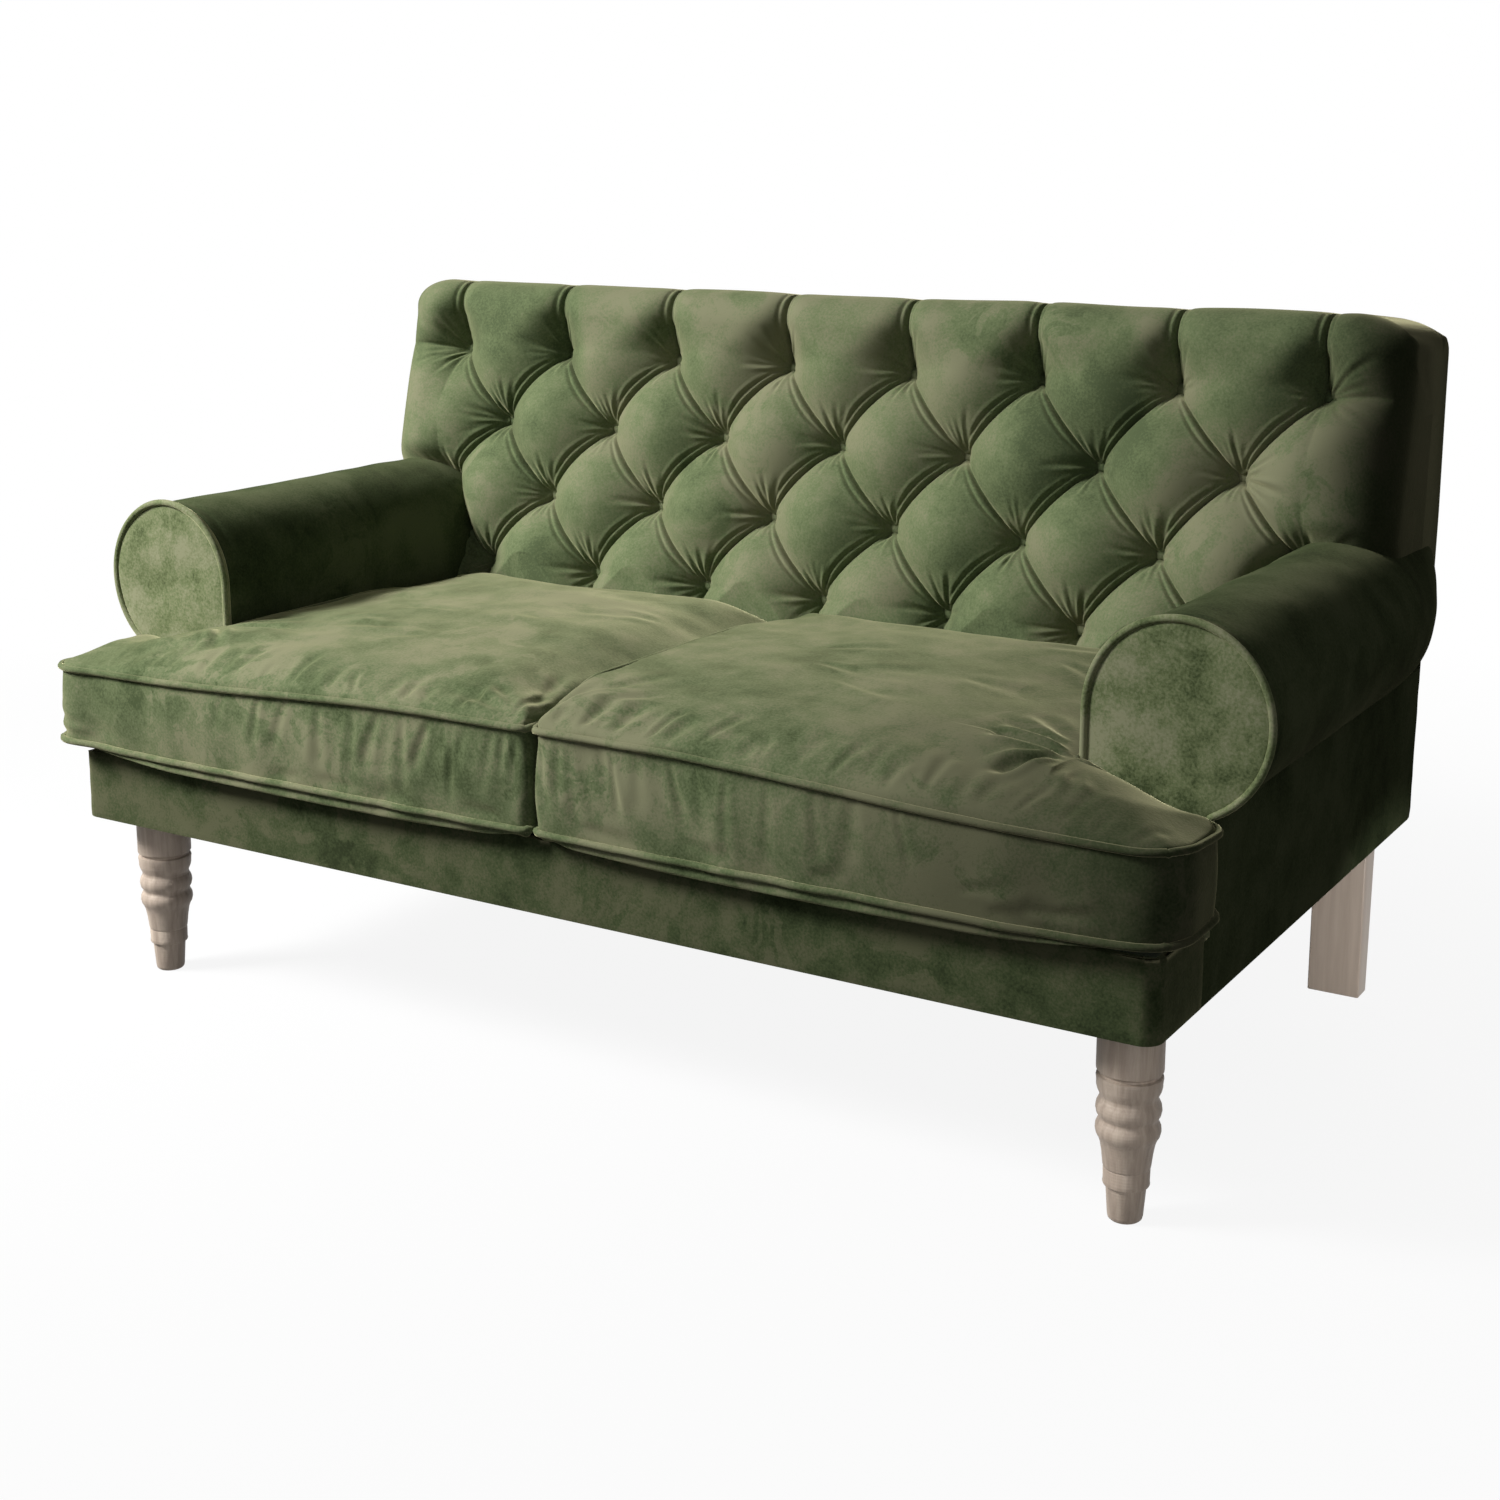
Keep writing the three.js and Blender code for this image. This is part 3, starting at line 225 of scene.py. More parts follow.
def painted_grain(name, dark, mid, pale, across, along, roughness, bump=0.0004, rings=0.0):
    """Timber with its grain up and down: fine streaks, and on turned work faint tool lines."""
    finish = new_finish(name)
    place = add_node(finish, "ShaderNodeTexCoord").outputs["Object"]
    stretched = add_node(finish, "ShaderNodeMapping", {
        "Vector": place, "Scale": (across, across, along)})
    streaks = add_node(finish, "ShaderNodeTexNoise", {
        "Vector": stretched.outputs["Vector"], "Scale": 1.0, "Detail": 6.0, "Roughness": 0.65,
        "Distortion": 0.4})
    colour = ramp(finish, streaks.outputs["Fac"], [(0.3, dark), (0.5, mid), (0.68, pale)])
    height = streaks.outputs["Fac"]
    if rings:
        tool = add_node(finish, "ShaderNodeTexWave", {
            "Vector": place, "Scale": rings, "Distortion": 1.5, "Detail": 2.0},
            bands_direction="Z")
        height = add_node(finish, "ShaderNodeMix", {
            "Factor": 0.3, "A": height, "B": tool.outputs["Fac"]},
            data_type="FLOAT").outputs["Result"]
    relief = add_node(finish, "ShaderNodeBump", {
        "Height": height, "Distance": bump, "Strength": 0.6})
    return close_finish(finish, colour, relief.outputs["Normal"], Roughness=roughness)


turned_oak = painted_grain("limed_oak_turned", "#8f8073", "#a89889", "#bcad9d",
                           90.0, 9.0, 0.55, rings=90.0)
# rear legs: limed oak with planed grain, made lighter than the turned legs' oak as painted light
# against the shade under the sofa
planed_oak_painted_light = painted_grain("limed_oak_planed_painted_light", "#aa9a8b", "#b2a293", "#baab9c",
                           120.0, 6.0, 0.42)
pine = painted_grain("planed_pine", "#b08f60", "#c9a878", "#d8bb8e", 90.0, 8.0, 0.7)


def plain_cloth(name, dark, light, thread, roughness=0.9):
    """Woven cloth: two sets of threads cross at a right angle, as fine light and dark checks."""
    finish = new_finish(name)
    place = add_node(finish, "ShaderNodeTexCoord").outputs["Object"]
    checks = add_node(finish, "ShaderNodeTexChecker", {
        "Vector": place, "Scale": 1000.0 / thread, "Color1": linear(dark),
        "Color2": linear(light)})
    wear = add_node(finish, "ShaderNodeTexNoise", {"Vector": place, "Scale": 14.0,
                                                   "Detail": 3.0})
    colour = add_node(finish, "ShaderNodeMix", {
        "Factor": wear.outputs["Fac"], "A": checks.outputs["Color"], "B": linear(dark)},
        data_type="RGBA")
    relief = add_node(finish, "ShaderNodeBump", {
        "Height": checks.outputs["Fac"], "Distance": 0.0003, "Strength": 0.5})
    return close_finish(finish, colour.outputs["Result"], relief.outputs["Normal"],
                        Roughness=roughness)


deck_cloth = plain_cloth("woven_deck_cloth", "#353f2b", "#47533a", 2.0)
dust_cloth = plain_cloth("spunbond_dust_cloth", "#171717", "#232323", 3.0)
webbing = plain_cloth("jute_webbing", "#2e2e2c", "#454542", 4.0)


def drawn_steel(name):
    """Drawn steel wire and strip with a dull zinc coat: grey metal with a cloudy gloss."""
    finish = new_finish(name)
    place = add_node(finish, "ShaderNodeTexCoord").outputs["Object"]
    cloud = add_node(finish, "ShaderNodeTexNoise", {"Vector": place, "Scale": 120.0,
                                                    "Detail": 4.0})
    colour = ramp(finish, cloud.outputs["Fac"], [(0.35, "#7e8184"), (0.65, "#999c9f")])
    return close_finish(finish, colour, Roughness=0.38, Metallic=1.0)


def pressed_board(name):
    """Bent hardboard: pressed brown fibres, seen as a fine short fleck."""
    finish = new_finish(name)
    place = add_node(finish, "ShaderNodeTexCoord").outputs["Object"]
    fleck = add_node(finish, "ShaderNodeTexNoise", {"Vector": place, "Scale": 350.0,
                                                    "Detail": 4.0, "Distortion": 1.0})
    colour = ramp(finish, fleck.outputs["Fac"], [(0.35, "#77603f"), (0.65, "#9a7e5b")])
    relief = add_node(finish, "ShaderNodeBump", {
        "Height": fleck.outputs["Fac"], "Distance": 0.0003, "Strength": 0.5})
    return close_finish(finish, colour, relief.outputs["Normal"], Roughness=0.85)


steel = drawn_steel("drawn_steel")
fibreboard = pressed_board("pressed_fibreboard")


# Making pieces
def in_scene(name, data):
    """A new object of a mesh, lamp or camera."""
    item = bpy.data.objects.new(name, data)
    bpy.context.scene.collection.objects.link(item)
    return item


def new_piece(name, points, faces, finish):
    """A mesh from points in millimetres and faces that all have as many corners."""
    mesh = bpy.data.meshes.new(name)
    points = np.asarray(points, float) * MM
    faces = np.asarray(faces, np.int32)
    count, corners = faces.shape
    mesh.vertices.add(len(points))
    mesh.vertices.foreach_set("co", points.astype(np.float32).ravel())
    mesh.loops.add(count * corners)
    mesh.loops.foreach_set("vertex_index", faces.ravel())
    mesh.polygons.add(count)
    mesh.polygons.foreach_set("loop_start", np.arange(0, count * corners, corners))
    mesh.update(calc_edges=True)
    mesh.validate()
    piece = in_scene(name, mesh)
    mesh.materials.append(finish)
    mesh.polygons.foreach_set("use_smooth", np.ones(len(mesh.polygons), bool))
    return piece


def pick(*objects):
    """Leaves only these objects selected, the last one active."""
    if bpy.context.object and bpy.context.object.mode != "OBJECT":
        bpy.ops.object.mode_set(mode="OBJECT")
    bpy.ops.object.select_all(action="DESELECT")
    for item in objects:
        item.select_set(True)
    bpy.context.view_layer.objects.active = objects[-1]


def open_mesh(piece):
    """Puts a piece in edit mode with all of it selected."""
    pick(piece)
    bpy.ops.object.mode_set(mode="EDIT")
    bpy.ops.mesh.select_all(action="SELECT")


def turned_out(piece, merge=None):
    """Turns all faces outwards, once points closer than merge, in millimetres, are made one."""
    open_mesh(piece)
    if merge:
        bpy.ops.mesh.remove_doubles(threshold=merge * MM)
    bpy.ops.mesh.normals_make_consistent(inside=False)
    bpy.ops.object.mode_set(mode="OBJECT")


def dress(piece, finish):
    piece.data.materials.clear()
    piece.data.materials.append(finish)


def finish_with(piece, kind, **settings):
    """Adds a modifier and applies it."""
    pick(piece)
    modifier = piece.modifiers.new(kind.lower(), kind)
    for name, value in settings.items():
        setattr(modifier, name, value)
    bpy.ops.object.modifier_apply(modifier=modifier.name)


def cut_away(piece, tool):
    finish_with(piece, "BOOLEAN", operation="DIFFERENCE", object=tool, solver="MANIFOLD")
    bpy.data.objects.remove(tool)


def points_of(piece):
    co = np.empty(len(piece.data.vertices) * 3, np.float32)
    piece.data.vertices.foreach_get("co", co)
    return co.reshape(-1, 3).astype(float) / MM


def normals_of(piece):
    normals = np.empty(len(piece.data.vertices) * 3, np.float32)
    piece.data.vertex_normals.foreach_get("vector", normals)
    return normals.reshape(-1, 3).astype(float)


def move_points(piece, points):
    piece.data.vertices.foreach_set("co", (points * MM).astype(np.float32).ravel())
    piece.data.update()


def smooth(low, high, value):
    share = np.clip((value - low) / (high - low), 0, 1)
    return share * share * (3 - 2 * share)


def round_off(distance, radius):
    inside = np.clip(radius - distance, 0, radius)
    return radius - np.sqrt(radius * radius - inside * inside)


def bump(distance, width):
    return np.exp(-(distance / width) ** 2)


def ripple(points, pitch, seed):
    """Slow swells from -1 to 1, with about that pitch in millimetres."""
    random = np.random.default_rng(seed)
    total = np.zeros(len(points))
    for _ in range(7):
        direction = random.normal(size=3)
        direction *= 2 * math.pi / (pitch * random.uniform(0.7, 1.4) * np.linalg.norm(direction))
        total += np.sin(points @ direction + random.uniform(0, 2 * math.pi))
    return total / 4


def grid_faces(rows, columns, first=0, wrap_rows=False, wrap_columns=False):
    """Quads over a grid of points that is numbered row by row."""
    i = np.arange(rows if wrap_rows else rows - 1)
    j = np.arange(columns if wrap_columns else columns - 1)
    i, j = [side.ravel() for side in np.meshgrid(i, j, indexing="ij")]
    i2 = (i + 1) % rows
    j2 = (j + 1) % columns
    return first + np.stack([i * columns + j, i2 * columns + j, i2 * columns + j2,
                             i * columns + j2], axis=1)


def band(ring, next_ring):
    """Quads between two closed rings, each given by the numbers of its points."""
    return np.stack([ring, next_ring, np.roll(next_ring, -1), np.roll(ring, -1)], axis=1)


def as_triangles(quads):
    return np.concatenate([quads[:, [0, 1, 2]], quads[:, [0, 2, 3]]])


def crease(points, normals, axes, start, end, width, depth, fade=0.3):
    """A fold along a line from start to end, drawn in two axes: a valley between soft ridges.
    Only cloth that faces along the third axis takes part."""
    start = np.array(start, float)
    along = np.array(end, float) - start
    flat = points[:, axes]
    share = np.clip((flat - start) @ along / (along @ along), -0.1, 1.1)
    offset = flat - start - share[:, None] * along
    distance = np.linalg.norm(offset, axis=1)
    facing = normals[:, 2] if axes == [0, 1] else -normals[:, 1]
    strength = smooth(-0.02, fade, share) * (1 - smooth(1 - fade, 1.02, share))
    strength *= smooth(0.25, 0.6, facing)
    reach = width * (0.6 + 0.8 * np.clip(share, 0, 1))
    shape = -bump(distance, reach) + 0.55 * bump(distance - 2 * reach, reach)
    return points + normals * (depth * strength * shape)[:, None]


def piping(paths, radius, sides=8):
    """Round cords sewn along closed or open paths, as points and quads."""
    points = []
    faces = []
    count = 0
    for path, closed in paths:
        path = np.asarray(path, float)
        ahead = np.roll(path, -1, axis=0) - np.roll(path, 1, axis=0)
        if not closed:
            ahead[0] = path[1] - path[0]
            ahead[-1] = path[-1] - path[-2]
        ahead /= np.maximum(np.linalg.norm(ahead, axis=1), 0.001)[:, None]
        reference = np.cross(ahead, [0.0, 0.0, 1.0])
        weak = np.linalg.norm(reference, axis=1) < 0.2
        reference[weak] = np.cross(ahead[weak], [0.0, 1.0, 0.0])
        reference /= np.linalg.norm(reference, axis=1)[:, None]
        for k in range(1, len(path)):
            side = reference[k - 1] - ahead[k] * (reference[k - 1] @ ahead[k])
            reference[k] = side / np.linalg.norm(side)
        third = np.cross(ahead, reference)
        # on a closed cord the last ring meets the first one a part of a turn round
        drift = 0.0
        if closed:
            drift = math.atan2(reference[-1] @ third[0], reference[-1] @ reference[0])
        turn = (np.arange(sides) * 2 * math.pi / sides
                - drift * np.arange(len(path))[:, None] / len(path))[..., None]
        ring = reference[:, None] * np.cos(turn) + third[:, None] * np.sin(turn)
        points.append((path[:, None] + radius * ring).reshape(-1, 3))
        faces.append(grid_faces(len(path), sides, count, wrap_rows=closed, wrap_columns=True))
        count += len(path) * sides
        if not closed:
            for ring_start, back in ((count - len(path) * sides, False), (count - sides, True)):
                loop = ring_start + np.arange(sides)
                loop = loop if back else loop[::-1]
                for k in range(1, sides - 1, 2):
                    faces.append([[loop[0], loop[k], loop[k + 1], loop[(k + 2) % sides]]])
    return np.concatenate(points), np.concatenate(faces)


def with_piping(piece, paths, radius):
    """Sews piping to a piece, as part of it."""
    points, faces = piping(paths, radius)
    cord = new_piece(piece.name + "_piping", points, faces, piece.data.materials[0])
    turned_out(cord)
    pick(cord, piece)
    bpy.ops.object.join()


def fitted(piece, body, slot, *nodes, fill=None):
    """Says what a finished piece rides on and hides the nodes it stands for. The slot is not used.
    """
    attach(piece, body)
    if nodes:
        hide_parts(*nodes)


# Outline of an arm seen from the front, from the inner foot over the roll to the neck
def arm_outline(inset=0.0, foot=ARM_FOOT, neck=NECK, spacing=5.0):
    wide = ROLL_HALF_WIDTH - inset
    high = ROLL_HALF_HEIGHT - inset
    end = -math.acos((neck - ROLL_X) / wide)
    steps = max(8, int((math.pi - end) * wide / spacing))
    turn = np.linspace(math.pi, end, steps)
    roll = np.stack([ROLL_X + wide * np.cos(turn), ROLL_Z + high * np.sin(turn)], axis=1)
    rise = np.linspace(foot, ROLL_Z, max(2, int((ROLL_Z - foot) / (1.6 * spacing))))[:-1]
    inner = np.stack([np.full(len(rise), ROLL_X - wide), rise], axis=1)
    neck_z = roll[-1, 1]
    drop = np.linspace(neck_z, foot, max(2, int((neck_z - foot) / (2 * spacing))))[1:]
    outer = np.stack([np.full(len(drop), neck), drop], axis=1)
    return np.concatenate([inner, roll, outer])


def from_roll(x, z):
    """Distance from a point to the arm's outline, above zero outside it."""
    x = np.abs(x)
    around = np.hypot((x - ROLL_X) / ROLL_HALF_WIDTH, (z - ROLL_Z) / ROLL_HALF_HEIGHT)
    return np.where(z < ROLL_Z, OPENING_HALF - x, (around - 1) * ROLL_MEAN_HALF)


def block_tool(low, high):
    corners = [[x, y, z] for z in (low[2], high[2]) for y in (low[1], high[1])
               for x in (low[0], high[0])]
    faces = [[0, 2, 3, 1], [4, 5, 7, 6], [0, 1, 5, 4], [2, 6, 7, 3], [0, 4, 6, 2], [1, 3, 7, 5]]
    return new_piece("tool", corners, faces, velvet)


def prism_tool(outline, y0, y1):
    """A cutting body with an outline of x and z, between two depths."""
    outline = np.asarray(outline, float)
    count = len(outline)
    middle = outline.mean(axis=0)
    rings = [np.insert(outline, 1, y, axis=1) for y in (y0, y1)]
    points = np.concatenate([*rings, [[middle[0], y0, middle[1]], [middle[0], y1, middle[1]]]])
    faces = as_triangles(grid_faces(2, count, wrap_columns=True))
    around = np.arange(count)
    beside = (around + 1) % count
    caps = [np.stack([around, beside, np.full(count, 2 * count)], axis=1),
            np.stack([count + beside, count + around, np.full(count, 2 * count + 1)], axis=1)]
    tool = new_piece("tool", points, np.concatenate([faces, *caps]), velvet)
    turned_out(tool)
    return tool


def timber_room():
    """The room behind the back pad for the timber of the back."""
    low = 190.0
    high = 850.0
    beyond = 530.0
    tan = math.tan(RAKE)
    behind = PAD_THICKNESS / math.cos(RAKE)
    corners = [[TUFT_Y + behind + (low - TUFT_Z) * tan, low],
               [TUFT_Y + behind + (high - TUFT_Z) * tan, high], [beyond, high], [beyond, low]]
    points = [[x, y, z] for x in (-TIMBER_HALF, TIMBER_HALF) for y, z in corners]
    faces = [[0, 1, 2, 3], [7, 6, 5, 4], [0, 4, 5, 1], [1, 5, 6, 2], [2, 6, 7, 3], [3, 7, 4, 0]]
    tool = new_piece("tool", points, faces, velvet)
    turned_out(tool)
    return tool


# Buttoned back. The buttons are where two slanting sets of pleats cross: one set runs
# where u + v / 2 is whole and a half, the other where u - v / 2 is.
def lattice(x, v):
    u = x / BUTTON_STEP - 0.5
    return u + v / 2, u - v / 2


def button_places():
    """Rows of eight and seven buttons in turn, each with its place across and its row."""
    places = []
    for row in range(LAST_ROW + 1):
        offset = 0.5 if row % 2 == 0 else 0.0
        for k in range(-4, 5):
            u = k + offset
            if abs(u) <= OUTER_COLUMN:
                places.append((u * BUTTON_STEP, float(row)))
    return places


BUTTONS = button_places()
FINE = 60
FULLNESS = 0.94
END_ROUND = 66.0
END_SWELL = 10.0
FRONT_REACH = 84.0
TOP_REACH = 46.0
REAR_REACH = 12.0
REAR_FALL = 15.0
PLEAT_PITCH = 141.0


def end_drop(inside):
    """How far the cloth has turned away, from 0 to 1, that far inside the pad's widest line."""
    width = END_ROUND + END_SWELL
    past = np.clip(1 - inside / width, 0, 1)
    return 1 - np.sqrt(1 - past * past)


def end_width(turned):
    """The way back: how far inside the widest line the cloth is once it has turned so far."""
    left = 1 - np.clip(turned, 0, 1)
    return (END_ROUND + END_SWELL) * (1 - np.sqrt(1 - left * left))


def tuft_depth(x, v):
    """How far the cloth lies under the crown of the tufts, from 0 to 1."""
    u = np.abs(x) / BUTTON_STEP
    inside_u = np.minimum(u, OUTER_COLUMN)
    inside_v = np.clip(v, 0, LAST_ROW)
    first = np.abs(np.sin(math.pi * (inside_u - 0.5 + inside_v / 2)))
    second = np.abs(np.sin(math.pi * (inside_u - 0.5 - inside_v / 2)))
    first = first ** FULLNESS
    second = second ** FULLNESS
    height = 0.42 * (first + second) + 0.22 * np.sqrt(first * second)
    field = 1 - height / 1.06
    over = smooth(0, 1.3, -v)
    under = np.clip((v - LAST_ROW) / 1.2, 0, 1)
    aside = np.clip((u - OUTER_COLUMN) / 0.47, 0, 1)
    upright = 1 - np.abs(np.sin(math.pi * (u - 0.5))) ** FULLNESS
    upright_low = 1 - np.abs(np.sin(math.pi * u)) ** FULLNESS
    above = upright ** (1 + 5 * over) * (1 - 0.93 * over)
    below = upright_low ** (1 + 2 * under) * (1 - 0.6 * under)
    level = 1 - np.abs(np.sin(math.pi * np.clip(v, -1, LAST_ROW) / 2))
    beside = level ** (1 + 2.4 * aside) * (1 - 0.95 * aside)
    depth = np.where(v < 0, above, np.where(v > LAST_ROW, below, field))
    outer = np.where(v < 0, np.maximum(beside, above), np.where(v > LAST_ROW, below, beside))
    return np.where(u > OUTER_COLUMN, outer, depth)


def pleat_folds(x, v):
    """The sharp crease of each pleat and the folded edge beside it, in millimetres."""
    total = np.zeros(np.broadcast(x, v).shape)
    u = x / BUTTON_STEP
    first, second = lattice(x, v)
    field = smooth(-0.04, 0.02, v) * (1 - smooth(2.98, 3.04, v)) * (1 - smooth(3.48, 3.53,
                                                                             np.abs(u)))
    for here, other in ((first, second), (second, first)):
        beside = (here - np.round(here)) * PLEAT_PITCH
        middle = np.abs(np.sin(math.pi * other))
        shift = 9.0 * (0.3 + 0.7 * middle)
        fold = (-4.0 * bump(beside, 1.8) + 1.4 * bump(beside + 0.5 * shift, 2.4)
                - 2.5 * middle * bump(beside + shift, 1.8)
                + 1.0 * middle * bump(beside + 1.45 * shift, 2.8))
        total = total + field * fold
    over = np.clip(-v / 1.15, 0, 2.2)
    top = (1 - smooth(-0.03, 0.03, v)) * (1 - smooth(1.6, 2.1, over)) * (np.abs(u) < 3.9)
    beside = (u - 0.5 - np.round(u - 0.5)) * BUTTON_STEP
    spread = 9.0 * smooth(0, 0.35, over)
    upright = (-3.9 * bump(beside, 2.2) - 2.9 * bump(beside + spread, 2.1)
               - 2.3 * bump(beside - 0.9 * spread, 2.1) + 1.5 * bump(beside + 0.5 * spread, 2.6)
               + 1.2 * bump(beside - 0.45 * spread, 2.4))
    total = total + top * (1 - 0.32 * over) * upright
    foot = smooth(2.97, 3.03, v)
    beside = (u - np.round(u)) * BUTTON_STEP
    return total - foot * 4.0 * bump(beside, 3.0)


def gathers(x, s):
    """Short wrinkles that fan out of each button. s is the height along the cloth."""
    total = np.zeros(np.broadcast(x, s).shape)
    x = np.broadcast_to(x, total.shape)
    s = np.broadcast_to(s, total.shape)
    groups = [(58, 122, 6, 1.0, (36, 74)), (136, 188, 6, 0.85, (34, 70)),
              (194, 224, 3, 0.7, (26, 48)), (230, 268, 4, 1.0, (30, 60)),
              (276, 310, 3, 0.6, (20, 42)), (-38, 44, 4, 0.6, (18, 40))]
    for button_x, row in BUTTONS:
        dx = x - button_x
        ds = s - (TOP_ROW - row * ROW_STEP)
        fans = list(groups)
        if abs(button_x) > 500:
            outward = 0 if button_x > 0 else 180
            fans += [(outward - 48, outward + 40, 8, 0.8, (55, 105))]
        near = (np.abs(dx) < 110) & (np.abs(ds) < 84)
        dx = dx[near]
        ds = ds[near]
        local = np.zeros(len(dx))
        for low, high, count, strength, lengths in fans:
            spacing = (high - low) / count
            for k in range(count):
                angle = math.radians(low + (k + dice.uniform(0.1, 0.9)) * spacing)
                length = dice.uniform(*lengths)
                depth = 4.4 * strength * dice.uniform(0.5, 1.15)
                along = dx * math.cos(angle) + ds * math.sin(angle)
                across = -dx * math.sin(angle) + ds * math.cos(angle)
                width = 1.6 + 0.042 * np.clip(along, 0, 80)
                shape = -bump(across, width) + 0.5 * bump(across - 2 * width, width)
                local += depth * shape * smooth(5, 13, along) * (
                    1 - smooth(0.3 * length, length, along))
        total[near] += local
    return total


def rear_lean(z):
    """How far the rear of the back draws forwards towards its foot."""
    return 24.0 * np.clip(640.0 - z, 0, None) / (640.0 - COVER_FOOT)


def back_stations():
    """The line of the back seen from its end, from the foot of its front over the top to the
    foot of its rear: each place with its way out and how far along the cloth it is."""
    first = math.ceil((TOP_ROW - FIELD_TOP) / (ROW_STEP / FINE))
    last = math.floor((TOP_ROW - FIELD_FOOT) / (ROW_STEP / FINE))
    heights = [*np.arange(PAD_FOOT, 440, 9),
               *[TOP_ROW - k * ROW_STEP / FINE for k in range(last, first - 1, -1)]]
    stations = []
    cos, sin, tan = math.cos(RAKE), math.sin(RAKE), math.tan(RAKE)
    for h in heights:
        y = TUFT_Y + (h - TUFT_Z) * tan - CROWN * cos
        stations.append((y, h + CROWN * sin, -cos, sin, (TOP_ROW - h) / ROW_STEP, h))
    radius = 58.0
    centre = (280.0, 848.0)
    over_row = FIELD_TOP - TOP_ROW
    for k in range(1, 31):
        angle = RAKE + (math.pi / 2 - RAKE) * k / 30
        run = over_row + radius * (angle - RAKE)
        stations.append((centre[0] - radius * math.cos(angle),
                         centre[1] + radius * math.sin(angle), -math.cos(angle),
                         math.sin(angle), -run / ROW_STEP, FIELD_TOP + run - over_row))

    # the top falls to the rear, where the line turns down; nothing is tufted there
    rear_radius = 42.0
    flat_end = BACK_REAR - rear_radius
    top = BACK_TOP + 2
    rear_top = top - REAR_FALL
    untufted = (-4.0, 1100.0)
    run = over_row + radius * (math.pi / 2 - RAKE)
    for y in [*np.arange(283, 330, 3), *np.arange(332, flat_end, 9)]:
        beyond = y - centre[0]
        stations.append((y, top - REAR_FALL * beyond / (flat_end - centre[0]), 0.0, 1.0,
                         -(run + beyond) / ROW_STEP, FIELD_TOP + run - over_row + beyond))
    for k in range(9):
        angle = math.pi / 2 * (1 - k / 8)
        stations.append((flat_end + rear_radius * math.cos(angle),
                         rear_top - rear_radius * (1 - math.sin(angle)), math.cos(angle),
                         math.sin(angle), *untufted))
    for z in np.linspace(rear_top - rear_radius - 8, PAD_FOOT, 30):
        stations.append((BACK_REAR - rear_lean(z), z, 1.0, 0.0, *untufted))
    return np.array(stations)


def back_columns():
    """Places across the back, even over the tufts and closer where an end turns round."""
    step = BUTTON_STEP / FINE / 2
    inner = step * np.arange(0, math.ceil((BACK_HALF - END_ROUND) / step))
    outer = BACK_HALF - END_ROUND * (1 - np.cos(np.linspace(math.pi / 2, 0, 34)))
    half = np.concatenate([inner, outer])
    return np.concatenate([-half[:0:-1], half])


